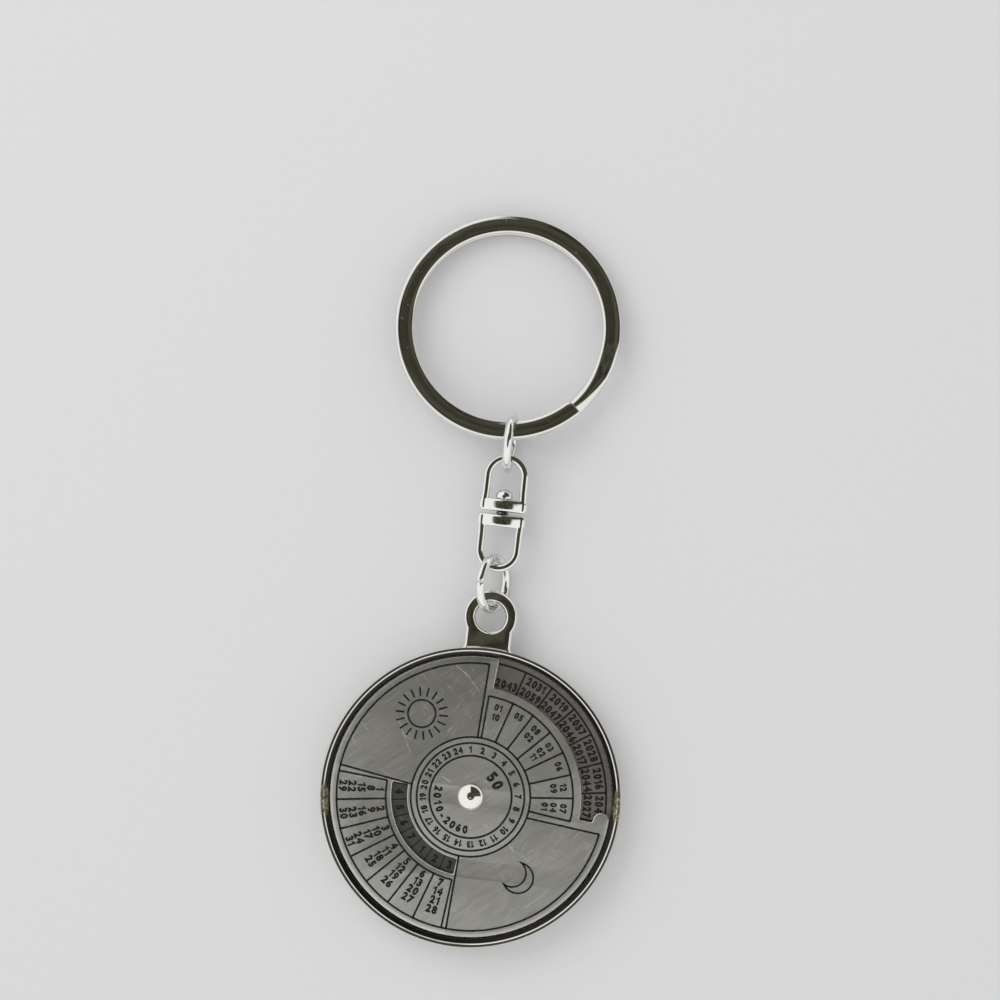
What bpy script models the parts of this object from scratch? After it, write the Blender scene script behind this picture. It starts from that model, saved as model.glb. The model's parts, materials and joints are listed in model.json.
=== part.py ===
"""Perpetual calendar keyring: a cast case with a turning dial, on a jump ring, a swivel,
a link and a split ring. Metres, +Z up out of the dial, +Y from the dial to the split ring.
The origin is the middle of the case's flat back, which lies on the surface at z = 0."""

import math

import bmesh
import bpy
import numpy as np

# Case: a turned cup with a flat back, a pocket for the plates and a rounded crest
CASE_RADIUS = 0.0200
CASE_HEIGHT = 0.0047
CASE_FLOOR = 0.0022
CASE_WALL = 0.00105
RIM_SLOPE_WIDTH = 0.00036
RIM_SLOPE_DEPTH = 0.00065
RIM_ROUND = 0.00030
BACK_CHAMFER = 0.00045

# Lug: the flat eye that stands out of the case's wall
LUG_EYE_STANDOFF = 0.0042
LUG_HEAD_RADIUS = 0.0036
LUG_HOLE_RADIUS = 0.0020
LUG_NECK_WIDTH = 0.0062
LUG_THICKNESS = 0.0017
LUG_UNDERSIDE = 0.00255
LUG_CHAMFER = 0.00035
LUG_FILLET = 0.00060

# Plates and washer: stacked in the pocket, from the floor up
STACK_GAP = 0.00005
YEAR_PLATE_THICKNESS = 0.0005
YEAR_PLATE_SIDE_GAP = 0.00010
WASHER_RADIUS = 0.0030
WASHER_THICKNESS = 0.0002
DIAL_THICKNESS = 0.0005
DIAL_SIDE_GAP = 0.00035
SHANK_GAP = 0.00006

# Dial: angles are its own, with its year window at the top, before it is turned
DIAL_TURN_DEG = -50.6
YEAR_WINDOW_DEPTH = 0.00375
YEAR_WINDOW_SPAN_DEG = 90.0
DAY_SLOT_INNER = 0.0085
DAY_SLOT_OUTER = 0.0106
DAY_SLOT_SPAN_DEG = 89.0
TAB_RADIUS = 0.00108
TAB_REACH = 0.00045

# Rivet: holds the dial down, with its shank in a blind hole in the case's floor
RIVET_HEAD_RADIUS = 0.0017
RIVET_HEAD_HEIGHT = 0.0011
RIVET_SHANK_RADIUS = 0.0010
RIVET_SEAT_DEPTH = 0.0012

# Jump ring: round wire through the lug's eye and the swivel's lower frame
JUMP_RING_DIAMETER = 0.0081
JUMP_RING_WIRE = 0.00115
JUMP_RING_LEAN_DEG = 60.0
JUMP_RING_BUTT_DEG = 178.0
JUMP_RING_BUTT_GAP = 0.00018
JUMP_RING_SHIFT = -0.0002
LUG_RING_GAP = 0.00030
FRAME_RING_GAP = 0.00026

# Swivel: two cast frames on one headed pin
FRAME_LENGTH = 0.00775
FRAME_WIDTH = 0.0060
FRAME_FLARE = 0.0002
FRAME_LIMB = 0.00105
FRAME_THICKNESS = 0.0013
FRAME_ROUND = 0.00036
BAR_HEIGHT = 0.00175
BAR_BOSS_RADIUS = 0.00115
BAR_BOSS_ROUND = 0.00030
BAR_GAP = 0.00035
PIN_RADIUS = 0.0006
PIN_RUNNING_GAP = 0.00006
PIN_HEAD_RADIUS = 0.00122
PIN_HEAD_HEIGHT = 0.0012
PIN_HEAD_GAP = 0.00008
PIN_TAIL_RADIUS = 0.00085
PIN_TAIL_DEPTH = 0.00035

# Link: round wire through the swivel's upper frame and the split ring
LINK_DIAMETER = 0.0084
LINK_WIRE = 0.00118
LINK_LEAN_DEG = 85.0
LINK_BUTT_DEG = 52.0
LINK_BUTT_GAP = 0.00010
FRAME_LINK_GAP = 0.00012
RING_LINK_GAP = 0.00018

# Split ring: one flat strip wound twice, with a step down from the top turn to the lower one
SPLIT_RING_DIAMETER = 0.0302
STRIP_WIDTH = 0.0024
STRIP_THICKNESS = 0.0010
STRIP_ROUND = 0.00028
TURN_GAP = 0.00043
TOP_END_DEG = -43.7
STEP_START_DEG = -19.7
STEP_SPAN_DEG = 24.0
LOWER_END_SHORT_DEG = 4.0
SPLIT_RING_LEAN_DEG = 8.3

# Everything but the case's back keeps this height above the surface
REST_GAP = 0.00003
CUT_OVERRUN = 0.0010

# Facets
CASE_STEPS = 96
SMALL_STEPS = 32
WIRE_POINTS = 48
WIRE_SIDES_RESOLUTION = 4
ARC_STEP_DEG = 7.5
FINE_STEP_DEG = 3.75
FILLET_STEP_DEG = 15.0
ROUND_STEP_DEG = 45.0
STRIP_STEP_DEG = 4.0
STRIP_ACROSS_POINTS = 5
WELD = 1e-7
SHARP_ANGLE = math.radians(35.0)

# Radii that follow the case, and heights of the stacked pieces from the floor up
POCKET_RADIUS = CASE_RADIUS - CASE_WALL
YEAR_PLATE_BASE = CASE_FLOOR + STACK_GAP
WASHER_BASE = YEAR_PLATE_BASE + YEAR_PLATE_THICKNESS + STACK_GAP
DIAL_BASE = WASHER_BASE + WASHER_THICKNESS + STACK_GAP
RIVET_HEAD_BASE = DIAL_BASE + DIAL_THICKNESS + STACK_GAP
DIAL_RADIUS = POCKET_RADIUS - DIAL_SIDE_GAP
YEAR_WINDOW_INNER = DIAL_RADIUS - YEAR_WINDOW_DEPTH
PLATE_HOLE_RADIUS = RIVET_SHANK_RADIUS + SHANK_GAP


def clear_scene():
    for old in list(bpy.data.objects):
        bpy.data.objects.remove(old)


def make_collection(name):
    made = bpy.data.collections.new(name)
    bpy.context.scene.collection.children.link(made)
    return made


def make_material(name, colour, roughness, metallic):
    material = bpy.data.materials.new(name)
    material.use_nodes = True
    shader = material.node_tree.nodes["Principled BSDF"]
    shader.inputs["Base Color"].default_value = (*colour, 1.0)
    shader.inputs["Roughness"].default_value = roughness
    shader.inputs["Metallic"].default_value = metallic
    return material


def add_object(name, data, collection, material=None):
    made = bpy.data.objects.new(name, data)
    collection.objects.link(made)
    if material:
        made.data.materials.append(material)
    return made


def as_cutter(solid):
    solid.hide_render = True
    solid.display_type = "WIRE"
    return solid


def polar(radius, degrees):
    return radius * math.cos(math.radians(degrees)), radius * math.sin(math.radians(degrees))


def arc(centre, radius, start_deg, end_deg, step_deg=ARC_STEP_DEG):
    """Points from start to end on a circle, both ends included."""
    steps = max(2, round(abs(end_deg - start_deg) / step_deg))
    angles = np.radians(np.linspace(start_deg, end_deg, steps + 1))
    return [(centre[0] + radius * math.cos(a), centre[1] + radius * math.sin(a)) for a in angles]


def turned(name, profile, steps, collection, material=None, closed=False):
    """A profile of (radius, height) points, turned about Z by a Screw modifier."""
    mesh = bpy.data.meshes.new(name)
    points = [(radius, 0.0, height) for radius, height in profile]
    edges = [(i, i + 1) for i in range(len(points) - 1)]
    if closed:
        edges.append((len(points) - 1, 0))
    mesh.from_pydata(points, edges, [])
    made = add_object(name, mesh, collection, material)
    screw = made.modifiers.new("Turn", "SCREW")
    screw.steps = steps
    screw.render_steps = steps
    screw.use_merge_vertices = True
    screw.merge_threshold = WELD
    screw.use_smooth_shade = False
    return made


def polygon_curve(name, outlines, closed=True):
    curve = bpy.data.curves.new(name, "CURVE")
    for points in outlines:
        spline = curve.splines.new("POLY")
        spline.points.add(len(points) - 1)
        for slot, point in zip(spline.points, points):
            slot.co = (point[0], point[1], point[2] if len(point) > 2 else 0.0, 1.0)
        spline.use_cyclic_u = closed
    return curve


def mesh_of_curve(curve_object, collection, material=None):
    """The curve's solid as a mesh object, with its caps welded and in the curve's place."""
    bpy.context.view_layer.update()
    graph = bpy.context.evaluated_depsgraph_get()
    mesh = bpy.data.meshes.new_from_object(curve_object.evaluated_get(graph))
    welded = bmesh.new()
    welded.from_mesh(mesh)
    bmesh.ops.remove_doubles(welded, verts=welded.verts, dist=WELD)
    bmesh.ops.dissolve_degenerate(welded, edges=welded.edges, dist=WELD)
    bmesh.ops.recalc_face_normals(welded, faces=welded.faces)
    welded.to_mesh(mesh)
    welded.free()
    name = curve_object.name
    place = curve_object.matrix_world.copy()
    bpy.data.objects.remove(curve_object)
    mesh.materials.clear()
    made = add_object(name, mesh, collection, material)
    made.matrix_world = place
    return made


def flat_solid(name, outlines, thickness, edge, rounding, collection, material=None):
    """A flat outline with holes, as thick as asked, its edges cut back by edge inside that size."""
    curve = polygon_curve(name, outlines)
    curve.dimensions = "2D"
    curve.fill_mode = "BOTH"
    curve.extrude = thickness / 2 - edge
    curve.bevel_depth = edge
    curve.bevel_resolution = rounding
    curve.offset = -edge
    return mesh_of_curve(add_object(name, curve, collection), collection, material)


def wire_loop(name, diameter, wire, butt_deg, butt_gap, collection, material):
    """A round wire bent to a circle in its own XY plane, open at its butt joint."""
    radius = (diameter - wire) / 2
    half_gap_deg = math.degrees(butt_gap / 2 / radius)
    start = butt_deg + half_gap_deg
    end = butt_deg - half_gap_deg + 360
    points = arc((0.0, 0.0), radius, start, end, (end - start) / WIRE_POINTS)
    curve = polygon_curve(name, [points], closed=False)
    curve.dimensions = "3D"
    curve.bevel_depth = wire / 2
    curve.bevel_resolution = WIRE_SIDES_RESOLUTION
    curve.use_fill_caps = True
    return mesh_of_curve(add_object(name, curve, collection), collection, material)


def cut(solid, cutter, operation, solver="EXACT"):
    step = solid.modifiers.new(operation.title(), "BOOLEAN")
    step.operation = operation
    step.solver = solver
    step.object = cutter
    as_cutter(cutter)


def smooth(solid):
    solid.data.shade_smooth()
    solid.data.set_sharp_from_angle(angle=SHARP_ANGLE)


def joint_empty(name, place, parent, collection):
    """A point on a joint's axis, which carries what moves with that joint."""
    empty = bpy.data.objects.new(name, None)
    collection.objects.link(empty)
    empty.location = place
    hang(empty, parent)
    return empty


def hang(child, parent):
    """Parents the child and leaves it where it is."""
    bpy.context.view_layer.update()
    if parent:
        child.parent = parent
        child.matrix_parent_inverse = parent.matrix_world.inverted()
        bpy.context.view_layer.update()


# Case

def case_profile():
    seat_radius = RIVET_SHANK_RADIUS + SHANK_GAP
    seat_floor = CASE_FLOOR - RIVET_SEAT_DEPTH
    crest_inner = POCKET_RADIUS + RIM_SLOPE_WIDTH
    crest_centre = (CASE_RADIUS - RIM_ROUND, CASE_HEIGHT - RIM_ROUND)
    inside = [
        (0.0, seat_floor),
        (seat_radius, seat_floor),
        (seat_radius, CASE_FLOOR),
        (POCKET_RADIUS, CASE_FLOOR),
        (POCKET_RADIUS, CASE_HEIGHT - RIM_SLOPE_DEPTH),
        (crest_inner, CASE_HEIGHT),
    ]
    outside = arc(crest_centre, RIM_ROUND, 90, 0, 2 * FILLET_STEP_DEG)
    back = [
        (CASE_RADIUS, BACK_CHAMFER),
        (CASE_RADIUS - BACK_CHAMFER, 0.0),
        (0.0, 0.0),
    ]
    return inside + outside + back


def lug_outline():
    """The head's arc, then the neck, then a fillet out to the case's wall, from right to left."""
    half_neck = LUG_NECK_WIDTH / 2
    eye = CASE_RADIUS + LUG_EYE_STANDOFF
    shoulder_deg = math.degrees(math.asin(math.sqrt(1 - (half_neck / LUG_HEAD_RADIUS) ** 2)))
    head = arc((0.0, eye), LUG_HEAD_RADIUS, -shoulder_deg, 180 + shoulder_deg)
    fillet_x = half_neck + LUG_FILLET
    fillet_y = math.sqrt((CASE_RADIUS + LUG_FILLET) ** 2 - fillet_x ** 2)
    swing = 90 - math.degrees(math.atan2(fillet_x, fillet_y))
    left = arc((-fillet_x, fillet_y), LUG_FILLET, 0, -swing, FILLET_STEP_DEG)
    wall_middle = (CASE_RADIUS + POCKET_RADIUS) / 2
    root_x = abs(left[-1][0])
    root_y = math.sqrt(wall_middle ** 2 - root_x ** 2)
    crown = (CASE_RADIUS - POCKET_RADIUS) / 2 + POCKET_RADIUS
    root = [(-root_x, root_y), (0.0, crown), (root_x, root_y)]
    right = [(-x, y) for x, y in reversed(left)]
    return head + left + root + right


def build_case(parts, cutters, chrome):
    case = turned("case", case_profile(), CASE_STEPS, parts, chrome)
    eye = (0.0, CASE_RADIUS + LUG_EYE_STANDOFF)
    hole = arc(eye, LUG_HOLE_RADIUS, 0, 360)[:-1]
    lug = flat_solid("lug", [lug_outline(), hole], LUG_THICKNESS, LUG_CHAMFER, 0, cutters)
    lug.location.z = LUG_UNDERSIDE + LUG_THICKNESS / 2
    cut(case, lug, "UNION", "MANIFOLD")
    return case


# Plates, washer and rivet

def ring_profile(inner, outer, base, thickness):
    """A flat ring's section, running down its outer side, to be turned closed."""
    top = base + thickness
    return [(inner, base), (inner, top), (outer, top), (outer, base)]


def build_year_plate(parts, metal):
    outer = POCKET_RADIUS - YEAR_PLATE_SIDE_GAP
    profile = ring_profile(PLATE_HOLE_RADIUS, outer, YEAR_PLATE_BASE, YEAR_PLATE_THICKNESS)
    return turned("year_plate", profile, CASE_STEPS, parts, metal, closed=True)


def build_washer(parts, metal):
    profile = ring_profile(PLATE_HOLE_RADIUS, WASHER_RADIUS, WASHER_BASE, WASHER_THICKNESS)
    return turned("dial_washer", profile, SMALL_STEPS, parts, metal, closed=True)


def dome_profile(radius, height, base):
    """A quarter of an ellipse, from the crown on the axis down to the rim at the base."""
    rim_points = arc((0.0, 0.0), 1, 90 - FILLET_STEP_DEG, 0, FILLET_STEP_DEG)
    return [(0.0, base + height)] + [(radius * x, base + height * y) for x, y in rim_points]


def build_rivet(parts, chrome):
    """A domed head over the dial, and a shank down into the case's blind seat."""
    tail = CASE_FLOOR - RIVET_SEAT_DEPTH + STACK_GAP
    head = dome_profile(RIVET_HEAD_RADIUS, RIVET_HEAD_HEIGHT, RIVET_HEAD_BASE)
    shank = [(RIVET_SHANK_RADIUS, RIVET_HEAD_BASE), (RIVET_SHANK_RADIUS, tail), (0.0, tail)]
    return turned("centre_rivet", head + shank, SMALL_STEPS, parts, chrome)


def dial_outline():
    """The dial's edge, notched by the year window, with the finger tab at the window's right end."""
    centre = (0.0, 0.0)
    right = 90 - YEAR_WINDOW_SPAN_DEG / 2
    left = 90 + YEAR_WINDOW_SPAN_DEG / 2
    tab_reach = DIAL_RADIUS - TAB_RADIUS
    tab_deg = right + math.degrees(TAB_REACH / tab_reach)
    edge = arc(centre, DIAL_RADIUS, left, tab_deg + 360, FINE_STEP_DEG)
    tab = arc(polar(tab_reach, tab_deg), TAB_RADIUS, tab_deg, tab_deg + 180, FILLET_STEP_DEG)[1:]
    foot = polar(tab_reach - TAB_RADIUS, right)
    inner = arc(centre, YEAR_WINDOW_INNER, right, left, FINE_STEP_DEG)
    return edge + tab + [foot] + inner


def day_slot_outline():
    centre = (0.0, 0.0)
    start = 270 - DAY_SLOT_SPAN_DEG / 2
    end = 270 + DAY_SLOT_SPAN_DEG / 2
    outer = arc(centre, DAY_SLOT_OUTER, start, end, FINE_STEP_DEG)
    inner = arc(centre, DAY_SLOT_INNER, end, start, FINE_STEP_DEG)
    return outer + inner


def build_dial(parts, metal):
    hole = arc((0.0, 0.0), PLATE_HOLE_RADIUS, 0, 360, FILLET_STEP_DEG)[:-1]
    outlines = [dial_outline(), day_slot_outline(), hole]
    dial = flat_solid("dial", outlines, DIAL_THICKNESS, 0.0, 0, parts, metal)
    dial.location.z = DIAL_BASE + DIAL_THICKNESS / 2
    dial.rotation_euler.z = math.radians(DIAL_TURN_DEG)
    return dial


# Rings and swivel

def lean(diameter, wire, lean_deg):
    """Height of a leaning ring's middle when its lowest point is at the resting height."""
    return (diameter - wire) / 2 * math.sin(math.radians(lean_deg)) + wire / 2 + REST_GAP


def reach_to_edge(room, half_thickness, corner, off_centre, lean_deg):
    """How far a leaning ring's middle may lie past a bar's edge that its bore has to clear.
    In the ring's plane the bar's corners must stay inside a circle of radius room."""
    stretch = math.sin(math.radians(lean_deg))
    flat_end = (half_thickness - corner + off_centre) / stretch
    side_end = (half_thickness + off_centre) / stretch
    return min(math.sqrt(room ** 2 - flat_end ** 2), corner + math.sqrt(room ** 2 - side_end ** 2))


def chain_places():
    """Places along the chain, each worked out from the piece before it."""
    eye = CASE_RADIUS + LUG_EYE_STANDOFF
    lug_bar_inner = eye + LUG_HOLE_RADIUS
    lug_bar_outer = eye + LUG_HEAD_RADIUS
    lug_z = LUG_UNDERSIDE + LUG_THICKNESS / 2
    jump_bore = JUMP_RING_DIAMETER / 2 - JUMP_RING_WIRE
    jump_z = lean(JUMP_RING_DIAMETER, JUMP_RING_WIRE, JUMP_RING_LEAN_DEG)
    jump_y = lug_bar_inner + reach_to_edge(
        jump_bore - LUG_RING_GAP, LUG_THICKNESS / 2, LUG_CHAMFER, abs(jump_z - lug_z), JUMP_RING_LEAN_DEG)
    lower_arch_inner = jump_y + reach_to_edge(
        jump_bore - FRAME_RING_GAP, FRAME_THICKNESS / 2, FRAME_ROUND, 0.0, JUMP_RING_LEAN_DEG)
    swivel_y = lower_arch_inner - FRAME_LIMB + FRAME_LENGTH + BAR_GAP / 2
    upper_arch_outer = swivel_y + BAR_GAP / 2 + FRAME_LENGTH
    upper_arch_middle = upper_arch_outer - FRAME_LIMB / 2
    swivel_z = jump_z
    link_z = lean(LINK_DIAMETER, LINK_WIRE, LINK_LEAN_DEG)
    link_bore = LINK_DIAMETER / 2 - LINK_WIRE
    arch_reach = math.hypot(FRAME_LIMB, FRAME_THICKNESS) / 2 - FRAME_ROUND * (math.sqrt(2) - 1)
    room = link_bore - arch_reach - FRAME_LINK_GAP
    link_y = upper_arch_middle + math.sqrt(room ** 2 - (link_z - swivel_z) ** 2)
    return {
        "lug_bar": (JUMP_RING_SHIFT, (lug_bar_inner + lug_bar_outer) / 2, lug_z),
        "jump_ring": (JUMP_RING_SHIFT, jump_y, swivel_z),
        "sway": (0.0, swivel_y - BAR_GAP / 2 - FRAME_LENGTH + FRAME_WIDTH / 2, swivel_z),
        "swivel": (0.0, swivel_y, swivel_z),
        "upper_arch": (0.0, upper_arch_middle, swivel_z),
        "link": (0.0, link_y, link_z),
    }


def frame_outline(direction):
    """A frame's outer edge and its window, from the pin's middle out along direction (+1 or -1)."""
    half = FRAME_WIDTH / 2
    base = BAR_GAP / 2
    arch_y = base + FRAME_LENGTH - half
    outer = [(half + FRAME_FLARE, base), (half + FRAME_FLARE, base + BAR_HEIGHT / 2)]
    outer += arc((0.0, arch_y), half, 0, 180)
    outer += [(-half - FRAME_FLARE, base + BAR_HEIGHT / 2), (-half - FRAME_FLARE, base)]
    inner_half = half - FRAME_LIMB
    corner = FRAME_ROUND
    sill = base + BAR_HEIGHT
    inner = arc((inner_half - corner, sill + corner), corner, -90, 0, ROUND_STEP_DEG)
    inner += arc((0.0, arch_y), inner_half, 0, 180)
    inner += arc((-inner_half + corner, sill + corner), corner, 180, 270, ROUND_STEP_DEG)
    return [[(x, y * direction) for x, y in line] for line in (outer, inner)]


def boss_profile():
    """The bar's round middle, about the pin, with rounded rims; heights run along the pin."""
    low = BAR_GAP / 2
    high = low + BAR_HEIGHT
    reach = BAR_BOSS_RADIUS - BAR_BOSS_ROUND
    upper = arc((reach, high - BAR_BOSS_ROUND), BAR_BOSS_ROUND, 90, 0, ROUND_STEP_DEG)
    lower = arc((reach, low + BAR_BOSS_ROUND), BAR_BOSS_ROUND, 0, -90, ROUND_STEP_DEG)
    return [(0.0, high)] + upper + lower + [(0.0, low)]


def pin_profile():
    """Domed head inside the upper frame, plain shank, countersunk tail flush in the lower bar."""
    bar_end = BAR_GAP / 2 + BAR_HEIGHT
    head_base = bar_end + PIN_HEAD_GAP
    head = dome_profile(PIN_HEAD_RADIUS, PIN_HEAD_HEIGHT, head_base)
    shank = [(PIN_RADIUS, head_base), (PIN_RADIUS, PIN_TAIL_DEPTH - bar_end)]
    tail = [(PIN_TAIL_RADIUS, -bar_end), (0.0, -bar_end)]
    return head + shank + tail


def bore_profile():
    """The pin's shank and tail, grown by the running gap and run past both bars."""
    bar_end = BAR_GAP / 2 + BAR_HEIGHT
    shank_radius = PIN_RADIUS + PIN_RUNNING_GAP
    tail_radius = PIN_TAIL_RADIUS + PIN_RUNNING_GAP
    top = bar_end + CUT_OVERRUN
    shank = [(0.0, top), (shank_radius, top), (shank_radius, PIN_TAIL_DEPTH - bar_end)]
    tail = [(tail_radius, -bar_end), (tail_radius, -top), (0.0, -top)]
    return shank + tail


def build_frame(name, direction, places, parts, cutters, chrome):
    frame = flat_solid(name, frame_outline(direction), FRAME_THICKNESS, FRAME_ROUND, 1, parts, chrome)
    frame.location = places["swivel"]
    boss = turned(name + "_boss", boss_profile(), SMALL_STEPS, cutters)
    boss.location = places["swivel"]
    boss.rotation_euler.x = math.radians(-90 * direction)
    bore = turned(name + "_bore", bore_profile(), SMALL_STEPS, cutters)
    bore.location = places["swivel"]
    bore.rotation_euler.x = math.radians(-90)
    cut(frame, boss, "UNION")
    cut(frame, bore, "DIFFERENCE")
    smooth(frame)
    return frame


def build_pin(places, parts, chrome):
    pin = turned("swivel_pin", pin_profile(), SMALL_STEPS, parts, chrome)
    pin.location = places["swivel"]
    pin.rotation_euler.x = math.radians(-90)
    return pin


def build_jump_ring(places, parts, chrome):
    ring = wire_loop("lug_jump_ring", JUMP_RING_DIAMETER, JUMP_RING_WIRE, JUMP_RING_BUTT_DEG,
                     JUMP_RING_BUTT_GAP, parts, chrome)
    ring.location = places["jump_ring"]
    ring.rotation_euler.y = math.radians(JUMP_RING_LEAN_DEG)
    smooth(ring)
    return ring


def build_link(places, parts, chrome):
    link = wire_loop("ring_link", LINK_DIAMETER, LINK_WIRE, LINK_BUTT_DEG, LINK_BUTT_GAP, parts, chrome)
    link.location = places["link"]
    link.rotation_euler.y = math.radians(LINK_LEAN_DEG)
    smooth(link)
    return link


# Split ring

def strip_path():
    """The strip's middle line: a top turn, a smooth step down, and a lower turn, as numpy rows."""
    radius = (SPLIT_RING_DIAMETER - STRIP_WIDTH) / 2
    rise = (STRIP_THICKNESS + TURN_GAP) / 2
    top_turn = 360 + TOP_END_DEG - STEP_START_DEG
    total = top_turn + 360 - LOWER_END_SHORT_DEG
    count = round(total / STRIP_STEP_DEG)
    travelled = np.linspace(0.0, total, count + 1)
    angles = np.radians(TOP_END_DEG - travelled)
    along = np.clip((travelled - top_turn) / STEP_SPAN_DEG, 0.0, 1.0)
    height = rise * np.cos(math.pi * along)
    return travelled, np.stack([radius * np.cos(angles), radius * np.sin(angles), height], axis=1)


def least_turn_gap(travelled, middle):
    """The least gap between the strip's turns, on points all over both of its flat faces."""
    across = np.linspace(-1.0, 1.0, STRIP_ACROSS_POINTS) * (STRIP_WIDTH / 2 - STRIP_ROUND)
    outward = middle * np.array([1.0, 1.0, 0.0])
    outward /= np.linalg.norm(outward, axis=1, keepdims=True)
    rows = middle[:, None, :] + outward[:, None, :] * across[None, :, None]
    up = np.array([0.0, 0.0, STRIP_THICKNESS / 2])
    faces = np.concatenate([rows + up, rows - up], axis=1)
    gap = math.inf
    for index, here in enumerate(faces):
        far = faces[travelled > travelled[index] + 180].reshape(-1, 3)
        if len(far):
            apart = np.linalg.norm(here[:, None, :] - far[None, :, :], axis=2)
            gap = min(gap, float(apart.min()))
    return gap


def strip_section():
    half_width = STRIP_WIDTH / 2 - STRIP_ROUND
    half_thickness = STRIP_THICKNESS / 2 - STRIP_ROUND
    corners = [(half_width, half_thickness, 0), (-half_width, half_thickness, 90),
               (-half_width, -half_thickness, 180), (half_width, -half_thickness, 270)]
    points = []
    for x, y, start in corners:
        points += arc((x, y), STRIP_ROUND, start, start + 90, ROUND_STEP_DEG)
    return points


def split_ring_place(places):
    """The ring's middle and tilt: threaded in the link's top, with its far side on the surface."""
    link_y, link_z = places["link"][1:]
    radius = (SPLIT_RING_DIAMETER - STRIP_WIDTH) / 2
    half_height = STRIP_THICKNESS + TURN_GAP / 2
    room = LINK_DIAMETER / 2 - LINK_WIRE - RING_LINK_GAP
    corner_in = STRIP_ROUND * (1 - math.sqrt(0.5))
    side = STRIP_WIDTH / 2 - corner_in
    seat = math.sqrt(room ** 2 - (half_height - corner_in) ** 2) - side
    turn = math.radians(SPLIT_RING_LEAN_DEG)
    reach = radius * math.cos(turn) + SPLIT_RING_DIAMETER / 2
    drop = link_z - REST_GAP
    tilt = math.asin(drop / math.hypot(reach, half_height)) - math.atan2(half_height, reach)
    run = radius * math.cos(turn)
    middle = (
        -radius * math.sin(turn),
        link_y + seat + run * math.cos(tilt),
        link_z - run * math.sin(tilt),
    )
    return middle, tilt


def build_split_ring(places, parts, cutters, chrome):
    travelled, middle = strip_path()
    print(f"split ring: least gap between its turns {1000 * least_turn_gap(travelled, middle):.3f} mm")
    section = add_object("strip_section", polygon_curve("strip_section", [strip_section()]), cutters)
    as_cutter(section)
    curve = polygon_curve("split_ring", [middle.tolist()], closed=False)
    curve.dimensions = "3D"
    curve.twist_mode = "Z_UP"
    curve.bevel_mode = "OBJECT"
    curve.bevel_object = section
    curve.use_fill_caps = True
    ring = mesh_of_curve(add_object("split_ring", curve, parts), parts, chrome)
    place, tilt = split_ring_place(places)
    ring.location = place
    ring.rotation_euler.x = -tilt
    smooth(ring)
    return ring


def leaning_axis(lean_deg):
    """The normal of a ring that leans about Y; a turn about it lifts the far end of the chain."""
    return math.sin(math.radians(lean_deg)), 0.0, math.cos(math.radians(lean_deg))


def report_joint(name, empty, axis):
    place = empty.matrix_world.translation
    spot = ", ".join(f"{value:.6f}" for value in place)
    print(f"joint {name}: at ({spot}), axis ({axis[0]:.6f}, {axis[1]:.6f}, {axis[2]:.6f})")


def main():
    clear_scene()
    parts = make_collection("perpetual_calendar_keyring")
    cutters = make_collection("cutters")
    chrome = make_material("plated_metal", (0.60, 0.60, 0.58), 0.08, 1.0)
    dial_metal = make_material("dial_metal", (0.46, 0.46, 0.45), 0.38, 1.0)
    plate_metal = make_material("plate_metal", (0.34, 0.33, 0.32), 0.42, 1.0)
    brass = make_material("washer_brass", (0.72, 0.56, 0.28), 0.35, 1.0)

    places = chain_places()
    case = build_case(parts, cutters, chrome)
    plate = build_year_plate(parts, plate_metal)
    washer = build_washer(parts, brass)
    rivet = build_rivet(parts, chrome)
    dial = build_dial(parts, dial_metal)
    jump_ring = build_jump_ring(places, parts, chrome)
    lower = build_frame("swivel_lower_frame", -1, places, parts, cutters, chrome)
    pin = build_pin(places, parts, chrome)
    upper = build_frame("swivel_upper_frame", 1, places, parts, cutters, chrome)
    link = build_link(places, parts, chrome)
    ring = build_split_ring(places, parts, cutters, chrome)

    for piece in (plate, washer, rivet):
        hang(piece, case)
    dial_turn = joint_empty("dial_turn", (0.0, 0.0, DIAL_BASE), case, parts)
    hang(dial, dial_turn)
    lug_swing = joint_empty("lug_swing", places["lug_bar"], case, parts)
    hang(jump_ring, lug_swing)
    sway = joint_empty("swivel_sway", places["sway"], lug_swing, parts)
    hang(lower, sway)
    hang(pin, sway)
    spin = joint_empty("swivel_spin", places["swivel"], sway, parts)
    hang(upper, spin)
    link_fold = joint_empty("link_fold", places["upper_arch"], spin, parts)
    hang(link, link_fold)
    ring_middle, tilt = split_ring_place(places)
    ring_turn = joint_empty("ring_turn", ring_middle, link_fold, parts)
    hang(ring, ring_turn)

    report_joint("dial_turn", dial_turn, (0.0, 0.0, 1.0))
    report_joint("lug_swing", lug_swing, leaning_axis(JUMP_RING_LEAN_DEG))
    report_joint("swivel_sway", sway, (0.0, 0.0, 1.0))
    report_joint("swivel_spin", spin, (0.0, 1.0, 0.0))
    report_joint("link_fold", link_fold, leaning_axis(LINK_LEAN_DEG))
    report_joint("ring_turn", ring_turn, (0.0, math.sin(tilt), math.cos(tilt)))


main()
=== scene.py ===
"""Looks of the perpetual calendar keyring: finely rounded plated pieces in the place of the frame's
faceted ones, a printed calendar on the dial and the year plate, a pale floor, soft light and the camera."""

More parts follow.
